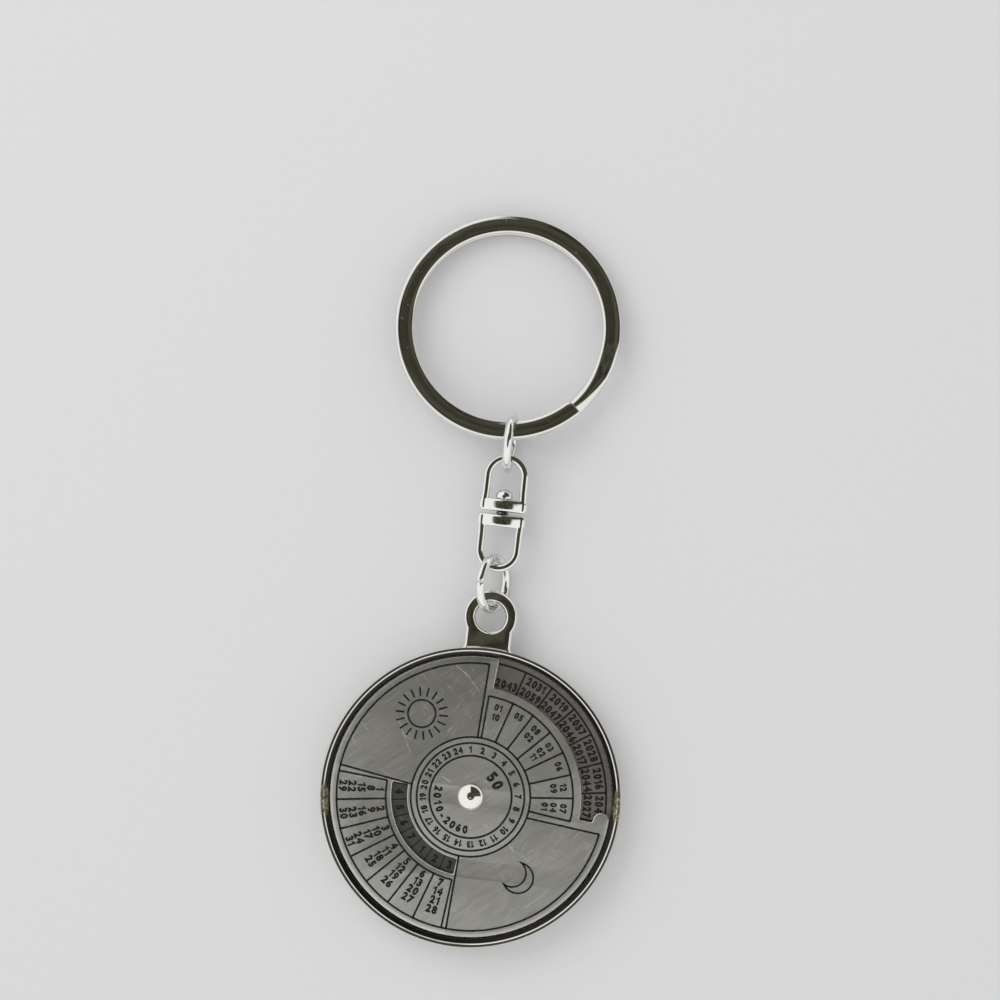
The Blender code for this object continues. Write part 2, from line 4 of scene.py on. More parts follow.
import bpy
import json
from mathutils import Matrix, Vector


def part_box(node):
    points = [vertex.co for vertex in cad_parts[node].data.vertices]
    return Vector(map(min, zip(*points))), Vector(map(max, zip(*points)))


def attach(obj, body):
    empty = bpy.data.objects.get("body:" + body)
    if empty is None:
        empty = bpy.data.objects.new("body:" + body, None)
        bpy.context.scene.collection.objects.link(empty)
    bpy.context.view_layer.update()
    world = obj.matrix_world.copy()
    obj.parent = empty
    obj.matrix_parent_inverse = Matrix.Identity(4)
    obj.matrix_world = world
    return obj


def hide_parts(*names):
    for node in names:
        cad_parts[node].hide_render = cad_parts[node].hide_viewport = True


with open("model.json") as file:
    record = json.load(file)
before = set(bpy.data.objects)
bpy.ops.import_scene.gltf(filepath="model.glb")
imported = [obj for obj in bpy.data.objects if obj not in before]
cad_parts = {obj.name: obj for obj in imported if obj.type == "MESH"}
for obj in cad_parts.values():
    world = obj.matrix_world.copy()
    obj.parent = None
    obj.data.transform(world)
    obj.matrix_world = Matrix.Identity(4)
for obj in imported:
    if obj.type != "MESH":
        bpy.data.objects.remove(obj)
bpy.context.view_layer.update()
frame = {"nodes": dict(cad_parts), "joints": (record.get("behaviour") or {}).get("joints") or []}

import datetime
import json
import math

import bmesh
import bpy
import numpy as np
from mathutils import Vector
from mathutils.geometry import tessellate_polygon

MM = 0.001
JOINTS = {joint["name"]: joint for joint in frame["joints"]}

# Camera: the photo's roll, its middle on the object, and the width that it sees at the rim's height
ROLL_DEG = 6.4
CAMERA_MIDDLE = (-0.50 * MM, 39.86 * MM)
CAMERA_ABOVE_RIM = 550 * MM
SEEN_WIDTH = 133.33 * MM

# Sizes shared with the frame
CASE_RADIUS = 20.0 * MM
CASE_HEIGHT = 4.7 * MM
CASE_FLOOR = 2.2 * MM
POCKET_RADIUS = 18.95 * MM
EYE_Y = 24.2 * MM
EYE_RADIUS = 2.0 * MM
DIAL_RADIUS = 18.82 * MM
PIN_HOLE_RADIUS = 1.06 * MM
WINDOW_INNER = 14.85 * MM
SLOT_INNER = 8.5 * MM
SLOT_OUTER = 10.6 * MM
DIAL_TURN_DEG = -50.6
FRAME_WIDTH = 6.0 * MM
FRAME_LENGTH = 7.75 * MM
FRAME_LIMB = 1.05 * MM
BAR_GAP = 0.35 * MM
BAR_HEIGHT = 1.75 * MM
LUG_LOW = 2.55 * MM
LUG_TOP = 4.25 * MM
DIAL_LOW = 3.05 * MM
DIAL_TOP = 3.55 * MM
YEAR_PLATE_TOP = 2.75 * MM

UP = np.array([0.0, 0.0, 1.0])


# Shapes as arrays

def grid_faces(rows, columns, wrap_rows=False, wrap_columns=True):
    """Corner numbers of the quads between neighbouring rows and columns of a grid of points."""
    row = np.arange(rows if wrap_rows else rows - 1)[:, None]
    column = np.arange(columns if wrap_columns else columns - 1)[None, :]
    next_row = (row + 1) % rows
    next_column = (column + 1) % columns
    corners = [row * columns + column, row * columns + next_column,
               next_row * columns + next_column, next_row * columns + column]
    return np.stack(corners, axis=-1).reshape(-1, 4).tolist()


def arc(centre, radius, start_deg, end_deg, step_deg=1.5):
    """Points on a circle: centre + radius (cos a, sin a), with a from start to end."""
    count = max(2, round(abs(end_deg - start_deg) / step_deg)) + 1
    angle = np.radians(np.linspace(start_deg, end_deg, count))
    return np.stack([centre[0] + radius * np.cos(angle), centre[1] + radius * np.sin(angle)], axis=1)


def polar(radius, degrees):
    return np.array([radius * math.cos(math.radians(degrees)), radius * math.sin(math.radians(degrees))])


def fillet(before, corner, after, radius, steps=6):
    """The corner's arc, touching both of its sides; its ends lie radius / tan(half angle) away from it."""
    before, corner, after = (np.asarray(point, float) for point in (before, corner, after))
    back = (before - corner) / np.linalg.norm(before - corner)
    ahead = (after - corner) / np.linalg.norm(after - corner)
    half = math.acos(np.clip(back @ ahead, -1, 1)) / 2
    middle = corner + (back + ahead) / np.linalg.norm(back + ahead) * radius / math.sin(half)
    first = corner + back * radius / math.tan(half) - middle
    last = corner + ahead * radius / math.tan(half) - middle
    swing = math.pi - 2 * half
    share = np.linspace(0, 1, steps + 1)[:, None]
    return middle + (np.sin((1 - share) * swing) * first + np.sin(share * swing) * last) / math.sin(swing)


def rounded(corners, radii, steps=6):
    """A line through the corners, with each corner of a radius above zero turned into its arc."""
    corners = [np.asarray(corner, float) for corner in corners]
    rows = []
    for index, (corner, radius) in enumerate(zip(corners, radii)):
        if radius > 0:
            rows.append(fillet(corners[index - 1], corner, corners[index + 1], radius, steps))
        else:
            rows.append(corner[None, :])
    return np.concatenate(rows)


def turned(profile, steps):
    """A profile of (radius, height) carried round Z: x = r cos t, y = r sin t, z = height."""
    angle = np.linspace(0, 2 * math.pi, steps, endpoint=False)[:, None]
    radius, height = profile[:, 0][None, :], profile[:, 1][None, :]
    points = np.stack([radius * np.cos(angle), radius * np.sin(angle), height + 0 * angle], axis=-1)
    return points.reshape(-1, 3), grid_faces(steps, len(profile), wrap_rows=True, wrap_columns=False)


def swept(centres, sides, ups, sections):
    """Sections of (side, up) rows carried along a path, both ends capped: point = centre + s side + u up.
    The side and the up are one direction for each centre, or one for them all."""
    rows, columns = sections.shape[:2]
    sides, ups = (np.broadcast_to(way, centres.shape)[:, None, :] for way in (sides, ups))
    points = centres[:, None, :] + sections[:, :, :1] * sides + sections[:, :, 1:] * ups
    faces = grid_faces(rows, columns)
    faces.append(list(range(columns))[::-1])
    faces.append(list(range((rows - 1) * columns, rows * columns)))
    return points.reshape(-1, 3), faces


def inward(loop):
    """For each point of a closed outline, the step that moves both of its sides to the left by one."""
    ahead = np.roll(loop, -1, axis=0) - loop
    ahead /= np.linalg.norm(ahead, axis=1, keepdims=True)
    left = np.stack([-ahead[:, 1], ahead[:, 0]], axis=1)
    before = np.roll(left, 1, axis=0)
    return (left + before) / (1 + np.sum(left * before, axis=1, keepdims=True))


def plate(loops, edge):
    """A flat plate: its edge, rows of (inset, height), is carried along each outline, and both faces are
    filled. Outlines run with the plate on their left."""
    points, faces, lows, highs, start = [], [], [], [], 0
    for loop in loops:
        step = inward(loop)
        outline = loop[:, None, :] + step[:, None, :] * edge[None, :, :1]
        height = np.broadcast_to(edge[None, :, 1:], outline.shape[:2] + (1,))
        points.append(np.concatenate([outline, height], axis=-1).reshape(-1, 3))
        walls = grid_faces(len(loop), len(edge), True, False)
        faces += [[corner + start for corner in face] for face in walls]
        first = start + np.arange(len(loop)) * len(edge)
        lows.append(first)
        highs.append(first + len(edge) - 1)
        start += len(loop) * len(edge)
    points = np.concatenate(points)
    for rims in (lows, highs):
        numbers = np.concatenate(rims)
        outlines = [[Vector(points[corner]) for corner in rim] for rim in rims]
        faces += [[int(numbers[corner]) for corner in face] for face in tessellate_polygon(outlines)]
    return points, faces


def edge_profile(low, high, low_cut, high_cut, roundness, steps=5):
    """An edge from the lower face to the upper one, cut back at both by a chamfer with rounded corners."""
    corners = [(low_cut, low), (0, low + low_cut), (0, high - high_cut), (high_cut, high)]
    far = [(2 * low_cut + roundness, low)] + corners + [(2 * high_cut + roundness, high)]
    return rounded(far, [0, roundness, roundness, roundness, roundness, 0], steps)[1:-1]


def heading(line):
    """The direction of travel at each point of a line, one unit long."""
    ahead = np.gradient(line, axis=0)
    return ahead / np.linalg.norm(ahead, axis=1, keepdims=True)


def ribbon(line, width, low, high, closed=False):
    """A thin flat strip: a rectangle of that width and height carried along a line in the plane."""
    if closed:
        step = inward(line)
    else:
        ahead = heading(line)
        step = np.stack([-ahead[:, 1], ahead[:, 0]], axis=1)
    count = len(line)
    side = np.array([-width / 2, width / 2, width / 2, -width / 2])
    outline = line[:, None, :] + step[:, None, :] * side[None, :, None]
    height = np.broadcast_to(np.array([low, low, high, high])[None, :, None], (count, 4, 1))
    faces = grid_faces(count, 4, wrap_rows=closed)
    if not closed:
        faces += [[0, 1, 2, 3], [4 * count - 4, 4 * count - 3, 4 * count - 2, 4 * count - 1]]
    return np.concatenate([outline, height], axis=-1).reshape(-1, 3), faces


def joined(shapes):
    """One shape of several, their corner numbers counted on."""
    points, faces, start = [], [], 0
    for shape_points, shape_faces in shapes:
        points.append(shape_points)
        faces += [[corner + start for corner in face] for face in shape_faces]
        start += len(shape_points)
    return np.concatenate(points), faces


def tipped(shape, axis, angle, middle):
    """Turns a shape about its X (0) or Y (1) axis and moves its origin to the middle. Of the two other
    coordinates, first' = first cos - second sin and second' = first sin + second cos."""
    points, faces = shape
    first, second = (axis + 1) % 3, (axis + 2) % 3
    c, s = math.cos(angle), math.sin(angle)
    made = points.copy()
    made[:, first] = points[:, first] * c - points[:, second] * s
    made[:, second] = points[:, first] * s + points[:, second] * c
    return made + np.asarray(middle), faces


def outward(angle):
    """The directions away from the Z axis at those angles: (cos a, sin a, 0)."""
    return np.stack([np.cos(angle), np.sin(angle), 0 * angle], axis=1)


def put(name, data):
    """A new object in the scene, at the origin."""
    made = bpy.data.objects.new(name, data)
    bpy.context.scene.collection.objects.link(made)
    return made


def put_mesh(name, shape, material):
    """A mesh of the shape's points and faces, welded and with its faces turned one way, in its material."""
    points, faces = shape
    mesh = bpy.data.meshes.new(name)
    mesh.from_pydata(points.tolist(), [], faces)
    skin = bmesh.new()
    skin.from_mesh(mesh)
    bmesh.ops.remove_doubles(skin, verts=skin.verts, dist=1e-4 * MM)
    bmesh.ops.dissolve_degenerate(skin, edges=skin.edges, dist=1e-5 * MM)
    bmesh.ops.recalc_face_normals(skin, faces=skin.faces)
    skin.to_mesh(mesh)
    skin.free()
    mesh.materials.append(material)
    return put(name, mesh)


def make_piece(name, shape, material, body, stands_for=(), crease_deg=35.0):
    """A closed piece of the shape, facing outwards and smooth up to the crease angle, on its body."""
    piece = put_mesh(name, shape, material)
    piece.data.shade_smooth()
    piece.data.set_sharp_from_angle(angle=math.radians(crease_deg))
    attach(piece, body)
    if stands_for:
        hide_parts(*stands_for)
    return piece


# Materials

def add(source, kind, inputs=None, **settings):
    """A shader node with its settings and inputs; an input is a plain value or another node's output. The
    source is the node tree that it goes in, or anything in that tree."""
    tree = source.id_data
    made = tree.nodes.new("ShaderNode" + kind)
    for name, value in settings.items():
        setattr(made, name, value)
    for name, value in (inputs or {}).items():
        if isinstance(value, bpy.types.NodeSocket):
            tree.links.new(value, made.inputs[name])
        else:
            made.inputs[name].default_value = value
    return made


def new_material(name, metallic, roughness):
    """A material, its shader and the place on the piece, in the piece's own coordinates."""
    material = bpy.data.materials.new(name)
    material.use_nodes = True
    shader = material.node_tree.nodes["Principled BSDF"]
    shader.inputs["Metallic"].default_value = metallic
    shader.inputs["Roughness"].default_value = roughness
    return material, shader, add(material.node_tree, "TexCoord").outputs["Object"]


def dress(shader, **finish):
    """Joins the finish's values to the shader's sockets of those names."""
    for socket, value in finish.items():
        shader.id_data.links.new(value, shader.inputs[socket.replace("_", " ")])


def vector(operation, first, second=None):
    """Arithmetic with places; a distance, a length and a dot product are numbers, and all else is a place."""
    inputs = {0: first} if second is None else {0: first, 1: second}
    made = add(first, "VectorMath", inputs, operation=operation)
    return made.outputs["Value" if operation in ("DISTANCE", "LENGTH", "DOT_PRODUCT") else "Vector"]


def noise(place, scale, turn_deg=0.0, detail=2.0, shift=(0.0, 0.0, 0.0)):
    """Smooth noise; scale is cycles to the metre, either one or three along axes turned about Z."""
    scale = scale if isinstance(scale, tuple) else (scale, scale, scale)
    rotation = (0.0, 0.0, math.radians(-turn_deg))
    along_grain = add(place, "Mapping", {"Vector": place, "Location": shift, "Rotation": rotation}).outputs[0]
    stretched = vector("MULTIPLY", along_grain, scale)
    return add(place, "TexNoise", {"Vector": stretched, "Scale": 1.0, "Detail": detail}).outputs["Fac"]


def ramp(value, low, high, out_low=0.0, out_high=1.0):
    """The value's share between low and high, as a number between out_low and out_high."""
    return add(value, "MapRange", {"Value": value, "From Min": low, "From Max": high,
                                   "To Min": out_low, "To Max": out_high}).outputs["Result"]


def maths(operation, first, second):
    """Arithmetic with two numbers, of which at least one is a node's output."""
    source = first if isinstance(first, bpy.types.NodeSocket) else second
    return add(source, "Math", {0: first, 1: second}, operation=operation).outputs[0]


def times(first, second):
    return maths("MULTIPLY", first, second)


def plus(value, other, amount):
    """The value plus an amount of the other."""
    return maths("ADD", value, times(other, amount))


def flat(place):
    """The place without its height."""
    return vector("MULTIPLY", place, (1.0, 1.0, 0.0))


def blend(share, first, second):
    """A colour between two, by the share; a colour written out has three parts."""
    first, second = (colour if isinstance(colour, bpy.types.NodeSocket) else (*colour, 1.0)
                     for colour in (first, second))
    return add(share, "Mix", {0: share, 6: first, 7: second}, data_type="RGBA").outputs[2]


def shaded(colour, amount):
    return tuple(amount * part for part in colour)


def scratches(place, lines):
    """Broken hairlines: stretched noise above a high mark, kept only where a coarse noise is high too.
    Each of the lines is (direction in degrees, length share, width share, amount)."""
    total = 0.0
    for index, (turn_deg, along, across, amount) in enumerate(lines):
        shift = (0.31 * index, 0.17 * index, 0.0)
        line = ramp(noise(place, (along, across, 40.0), turn_deg, 0.0, shift), 0.735, 0.775)
        patch = ramp(noise(place, 170.0, 0.0, 0.0, shift), 0.50, 0.62)
        total = maths("MAXIMUM", total, times(times(line, patch), amount))
    return total


def near(place, spot, radius, ragged):
    """One inside a ragged patch about a spot, fading to zero at its radius; both are in millimetres."""
    radius *= MM
    away = vector("DISTANCE", place, Vector(spot) * MM)
    return ramp(plus(away, ragged, 0.55 * radius), 1.25 * radius, 0.95 * radius)


def plating(name, colour, roughness, wear=(), wave=1.0, grimy_and_shaded=False, soil_and_shade=()):
    """Polished plating over a cast or drawn blank: a slight swim in its reflections, fine hairlines and
    pinpricks, ragged spots where the plating has worn to a dull greenish yellow base, spots of dark soil and
    painted shade in narrow gaps, and in the case dark grime and painted shade down the pocket's wall."""
    material, shader, place = new_material(name, 1.0, roughness)
    hair = scratches(place, HAIRS_CHROME)
    cloud = noise(place, 420.0, detail=3.0)
    pit = ramp(noise(place, 2600.0, 0.0, 0.0, (0.7, 0.2, 0.4)), 0.80, 0.84)
    tone = blend(cloud, shaded(colour, 0.93), colour)
    marks = maths("MAXIMUM", hair, pit)
    rough = plus(ramp(cloud, 0.3, 0.7, roughness * 0.7, roughness * 1.5), marks, 0.22)
    swim = noise(place, 330.0, 0.0, 1.0, (0.1, 0.5, 0.9))
    height = plus(times(swim, 0.05 * wave), marks, -0.002)
    # Painted shade: a band down the pocket's wall, beside the dial, is darkened and roughened, as dark grime
    # and as the shade of the narrow gap there.
    if grimy_and_shaded:
        away = vector("LENGTH", flat(place))
        inner, outer = (CASE_RADIUS - inset for inset in GRIME_AND_SHADE_INSETS)
        inside = ramp(away, inner, inner + GRIME_AND_SHADE_FADE)
        inside = times(inside, ramp(away, outer, outer - GRIME_AND_SHADE_FADE))
        tone = blend(inside, tone, POCKET_GRIME_AND_SHADE)
        rough = plus(rough, inside, 0.3)
    ragged = noise(place, 1500.0, 0.0, 3.0, (0.3, 0.3, 0.3))
    # Painted shade: each spot darkens and roughens the plating, as dark soil and as the shade in a narrow gap
    # between parts.
    for spot, radius in soil_and_shade:
        dirt_and_shade = near(place, spot, radius, ragged)
        tone = blend(dirt_and_shade, tone, SOIL_AND_SHADE)
        rough = plus(rough, dirt_and_shade, 0.3)
    if wear:
        worn = 0.0
        for spot, radius in wear:
            worn = maths("MAXIMUM", worn, near(place, spot, radius, ragged))
        mottle = ramp(noise(place, 2300.0), 0.38, 0.62)
        tone = blend(worn, tone, blend(mottle, *WORN_BASE))
        rough = plus(rough, worn, 0.34)
        fine = noise(place, 5200.0, detail=1.0)
        height = plus(height, times(worn, fine), 0.03)
    bump = add(height, "Bump", {"Height": height, "Strength": 1.0, "Distance": MM})
    dress(shader, Base_Color=tone, Roughness=rough, Normal=bump.outputs["Normal"])
    return material


def gouge(place, start, end, width):
    """One on a straight scratch between two places, fading to zero beside it by distance to the segment."""
    start, end = (Vector((*point, 0.0)) * MM for point in (start, end))
    run = end - start
    away = vector("SUBTRACT", flat(place), start)
    share = ramp(vector("DOT_PRODUCT", away, run / run.length_squared), 0.0, 1.0)
    nearest = add(share, "VectorMath", {0: run, "Scale": share}, operation="SCALE").outputs["Vector"]
    return ramp(vector("DISTANCE", away, nearest), width * MM, 0.3 * width * MM)


def beside(place, line):
    """One to the left of a printed line, looking from its first place to its second, zero to the right."""
    start, end = (on_dial(*spot) for spot in line)
    across = np.array([start[1] - end[1], end[0] - start[0]]) / np.linalg.norm(end - start)
    level = start @ across
    away = vector("DOT_PRODUCT", place, (*across, 0.0))
    return ramp(away, level - 0.03 * MM, level + 0.03 * MM)


def brushed(name, light, dark, roughness, turn_deg, hairs, ring=None, gouges=(), edge=0.0, fields=()):
    """Sheet metal brushed one way: long fine streaks that move its tone, roughness and height, slow cloudy
    patches of handling, hairlines across the grain, and cut edges painted brighter, as bare metal and as a
    painted highlight. A ring of (radius, colour) tints all that lies inside it. The sheet rolls down a little
    towards an edge radius, as a punched disc's does, and is darker in the fields, each of which lies between
    two printed lines."""
    material, shader, place = new_material(name, 1.0, roughness)
    streak = noise(place, (260.0, 9000.0, 1.0), turn_deg)
    broad = noise(place, (90.0, 1500.0, 1.0), turn_deg, 1.0, (0.4, 0.1, 0.0))
    cloud = noise(place, 120.0, detail=3.0)
    hair = scratches(place, hairs)
    for start, end, width in gouges:
        hair = maths("MAXIMUM", hair, gouge(place, start, end, width))
    patchy = plus(times(broad, 0.15), cloud, 0.30)
    grain = maths("ADD", times(streak, 0.55), patchy)
    tone = blend(ramp(grain, 0.36, 0.64), dark, light)
    for first, second in fields:
        inside = times(beside(place, first), beside(place, second[::-1]))
        tone = blend(times(inside, 0.15), tone, (0.0, 0.0, 0.0))
    away = vector("LENGTH", flat(place))
    if ring:
        radius, colour = ring
        tinted = blend(grain, shaded(colour, 0.8), colour)
        tone = blend(ramp(away, radius + 0.1 * MM, radius), tone, tinted)
    # Painted highlight: the edge faces, tilted well away from flat, are painted brighter and smoother, partly
    # as bare cut metal and partly as the bright line that a cut edge reflects.
    normal = add(place, "TexCoord").outputs["Normal"]
    cut = ramp(add(normal, "SeparateXYZ", {0: normal}).outputs["Z"], 0.95, 0.80)
    bright = maths("MAXIMUM", times(hair, 0.45), cut)
    tone = blend(bright, tone, BARE_METAL_AND_EDGE_HIGHLIGHT)
    rough = ramp(grain, 0.35, 0.65, roughness - 0.04, roughness + 0.04)
    rough = plus(plus(rough, hair, 0.14), cut, -0.12)
    bump = add(streak, "Bump", {"Height": streak, "Strength": 0.35, "Distance": 0.005 * MM})
    if edge:
        share = ramp(away, edge - 0.62 * MM, edge)
        fall = maths("SUBTRACT", 1.0, times(share, share))
        bump = add(fall, "Bump", {"Height": fall, "Strength": 1.0, "Distance": 0.050 * MM,
                                  "Normal": bump.outputs["Normal"]})
    dress(shader, Base_Color=tone, Roughness=rough, Normal=bump.outputs["Normal"])
    return material


def print_ink(name, colour):
    """Dark satin ink, thin in places, with a faint grain."""
    material, shader, place = new_material(name, 0.0, 0.5)
    shader.inputs["Specular IOR Level"].default_value = 0.22
    thin = noise(place, 2200.0)
    tone = blend(ramp(thin, 0.5, 0.8), colour, shaded(colour, 3.0))
    dress(shader, Base_Color=tone, Roughness=ramp(thin, 0.3, 0.7, 0.38, 0.55))
    return material


def floor_paper(name):
    """Smooth pale card."""
    material, shader, place = new_material(name, 0.0, 0.62)
    fibre = noise(place, 900.0, detail=3.0)
    dress(shader, Base_Color=blend(fibre, (0.735, 0.740, 0.742), (0.755, 0.760, 0.760)))
    return material


# Marks, in millimetres: a gouge is two places and a width, and a spot of wear, or of soil and painted shade,
# a place and a radius
HAIRS_DIAL = [(64.0, 260.0, 9000.0, 0.6), (-28.0, 320.0, 9500.0, 0.8), (131.0, 400.0, 9000.0, 0.7)]
HAIRS_PLATE = [(30.0, 180.0, 8000.0, 0.5), (-40.0, 240.0, 9000.0, 0.5)]
HAIRS_CHROME = [(20.0, 260.0, 9500.0, 0.5), (-57.0, 320.0, 9500.0, 0.5)]
GOUGES = [((-4.0, 2.3), (-2.9, 1.7), 0.07), ((-17.6, 8.0), (-16.2, 5.6), 0.06),
          ((-17.2, 5.9), (-15.9, 6.9), 0.06), ((-15.9, 8.6), (-14.6, 7.4), 0.05),
          ((-10.9, 9.6), (-8.6, 4.9), 0.05), ((-2.6, 16.6), (-0.4, 14.1), 0.06),
          ((-3.9, 17.3), (-1.9, 15.9), 0.08), ((8.9, -13.9), (11.9, -11.2), 0.05)]
RIM_WEAR = [((-19.4, -2.4, 6.0), 3.05), ((19.35, 0.6, 5.9), 2.55), ((19.2, 2.3, 5.3), 1.45)]
# The swivel's spot lies on the neck between its frames: soil and painted shade.
SWIVEL_SOIL_AND_SHADE = [((0.0, 38.16, 3.61), 1.12)]
RING_WEAR = [((-11.7, 72.6, 3.9), 0.9)]
NICKEL = (0.80, 0.79, 0.765)
BRIGHT_NICKEL = (0.86, 0.855, 0.84)
RIVET_NICKEL = (0.87, 0.86, 0.80)
WORN_BASE = ((0.15, 0.14, 0.08), (0.58, 0.57, 0.42))
# Dark soil and painted shade for narrow gaps, such as the swivel's neck.
SOIL_AND_SHADE = (0.030, 0.026, 0.022)
# Dark grime and painted shade down the pocket's wall, between these insets from the case's edge, with this
# fade.
POCKET_GRIME_AND_SHADE = (0.030, 0.027, 0.023)
GRIME_AND_SHADE_INSETS = (1.06 * MM, 0.46 * MM)
GRIME_AND_SHADE_FADE = 0.08 * MM
# Bright bare metal for hairlines and cut edges; on the cut edges it is also a painted highlight.
BARE_METAL_AND_EDGE_HIGHLIGHT = (0.93, 0.92, 0.90)


# Case and lug

def case_shell():
    """The cup turned round Z: an upright wall beside the dial, a steep one above it, a 42 degree chamfer up
    to the flat crest, a small round over its outer corner and a small chamfer round the back."""
    corner, cut_out, cut_down, back_cut = 0.03 * MM, 0.145 * MM, 0.13 * MM, 0.45 * MM
    hole_floor, upright_top = 1.0 * MM, 3.5 * MM
    crest = CASE_RADIUS - 0.34 * MM
    shoulder = arc((CASE_RADIUS - corner, CASE_HEIGHT - corner), corner, 90, 0, 15)
    hole = [(0, hole_floor), (PIN_HOLE_RADIUS, hole_floor), (PIN_HOLE_RADIUS, CASE_FLOOR)]
    wall = [(POCKET_RADIUS, CASE_FLOOR), (POCKET_RADIUS, upright_top),
            (crest - cut_out, CASE_HEIGHT - cut_down), (crest, CASE_HEIGHT), shoulder[0]]
    pocket = rounded(hole + wall, [0, 0, 0, 0.08 * MM, 0.08 * MM, corner, corner, 0], 5)
    rear = [(CASE_RADIUS, CASE_HEIGHT / 2), (CASE_RADIUS, back_cut), (CASE_RADIUS - back_cut, 0), (0, 0)]
    back = rounded(rear, [0, 0.12 * MM, 0.12 * MM, 0])
    return turned(np.concatenate([pocket[:-1], shoulder, back[1:]]), 256)


def lug_outline():
    """The head's arc about the eye, the straight neck, and a fillet out to the case's wall."""
    half_neck, head, flare = 3.1 * MM, 3.6 * MM, 0.6 * MM
    shoulder = math.degrees(math.acos(half_neck / head))
    top = arc((0, EYE_Y), head, -shoulder, 180 + shoulder, 3)
    flare_x = half_neck + flare
    flare_y = math.sqrt((CASE_RADIUS + flare) ** 2 - flare_x ** 2)
    swing = 90 - math.degrees(math.atan2(flare_x, flare_y))
    left = arc((-flare_x, flare_y), flare, 0, -swing, 12)
    root = 19.3 * MM
    root_x = abs(left[-1][0])
    root_y = math.sqrt(root ** 2 - root_x ** 2)
    turns = [math.degrees(math.atan2(root_y, x)) for x in (-root_x, root_x)]
    foot = arc((0, 0), root, *turns, 3)
    right = (left * [-1, 1])[::-1]
    return np.concatenate([top, left, foot, right])


def lug_plate():
    """The flat eye with its chamfered edge, and the small cast fillet where it meets the case's wall."""
    hole = arc((0, EYE_Y), EYE_RADIUS, 360, 0, 6)[:-1]
    eye = plate([lug_outline(), hole], edge_profile(LUG_LOW, LUG_TOP, 0.30 * MM, 0.30 * MM, 0.16 * MM))
    turn = np.radians(np.linspace(82.2, 97.8, 13))
    sides = outward(turn)
    size, sunk, behind = 0.26 * MM, -0.1 * MM, -0.2 * MM
    hollow = arc((size, size), size, 180, 270, 15)
    section = np.concatenate([hollow, [(size, sunk), (behind, sunk), (behind, size)]])
    fill = swept(CASE_RADIUS * sides + LUG_TOP * UP, sides, UP, np.tile(section, (len(turn), 1, 1)))
    return joined([eye, fill])


# Dial

def dial_outline():
    """The dial's edge, its year window cut in from right to left, and the half-round tab in the window."""
    tab = 1.08 * MM
    reach = DIAL_RADIUS - tab
    tab_deg = 45 + math.degrees(0.45 * MM / reach)
    soft = 0.28 * MM
    small_deg = math.degrees(soft / DIAL_RADIUS)
    inner_deg = math.degrees(soft / WINDOW_INNER)
    window = arc((0, 0), WINDOW_INNER, 45 + inner_deg, 135 - inner_deg)
    edge = arc((0, 0), DIAL_RADIUS, 135 + small_deg, tab_deg + 360)
    lobe = arc(polar(reach, tab_deg), tab, tab_deg, tab_deg + 180, 9)[1:]
    right = [lobe[-1], polar(reach - tab, 45), polar(WINDOW_INNER, 45), window[0]]
    right = rounded(right, [0, 0.25 * MM, soft, 0], 4)
    left = [window[-1], polar(WINDOW_INNER, 135), polar(DIAL_RADIUS, 135), edge[0]]
    left = rounded(left, [0, soft, soft, 0], 4)
    return turn_flat(np.concatenate([edge, lobe[:-1], right[1:-2], window, left[2:-2]]), DIAL_TURN_DEG)


def slot_outline():
    """The weekday slot, an arc-shaped hole with softened corners, run clockwise."""
    soft = 0.14 * MM
    start, end = 270 - 44.5, 270 + 44.5
    outer_deg, inner_deg = math.degrees(soft / SLOT_OUTER), math.degrees(soft / SLOT_INNER)
    outer = arc((0, 0), SLOT_OUTER, end - outer_deg, start + outer_deg)
    inner = arc((0, 0), SLOT_INNER, start + inner_deg, end - inner_deg)
    radii = [0, soft, soft, 0]
    left = rounded([outer[-1], polar(SLOT_OUTER, start), polar(SLOT_INNER, start), inner[0]], radii, 3)
    right = rounded([inner[-1], polar(SLOT_INNER, end), polar(SLOT_OUTER, end), outer[0]], radii, 3)
    return turn_flat(np.concatenate([outer, left[2:-2], inner, right[2:-2]]), DIAL_TURN_DEG)


def turn_flat(points, degrees):
    """Points in the plane, turned about the rivet."""
    c, s = math.cos(math.radians(degrees)), math.sin(math.radians(degrees))
    return points @ np.array([[c, s], [-s, c]])


def dial_plate():
    """The dial with its slot and the rivet's hole; its upper edges are softer than its lower ones."""
    hole = arc((0, 0), PIN_HOLE_RADIUS, 360, 0, 12)[:-1]
    edge = edge_profile(DIAL_LOW, DIAL_TOP, 0.03 * MM, 0.09 * MM, 0.05 * MM, 3)
    return plate([dial_outline(), slot_outline(), hole], edge)


# Print: angles are the photo's, counted from its right; the keyring's own are larger by the roll

def on_dial(radius, photo_deg):
    return polar(radius * MM, photo_deg + ROLL_DEG)


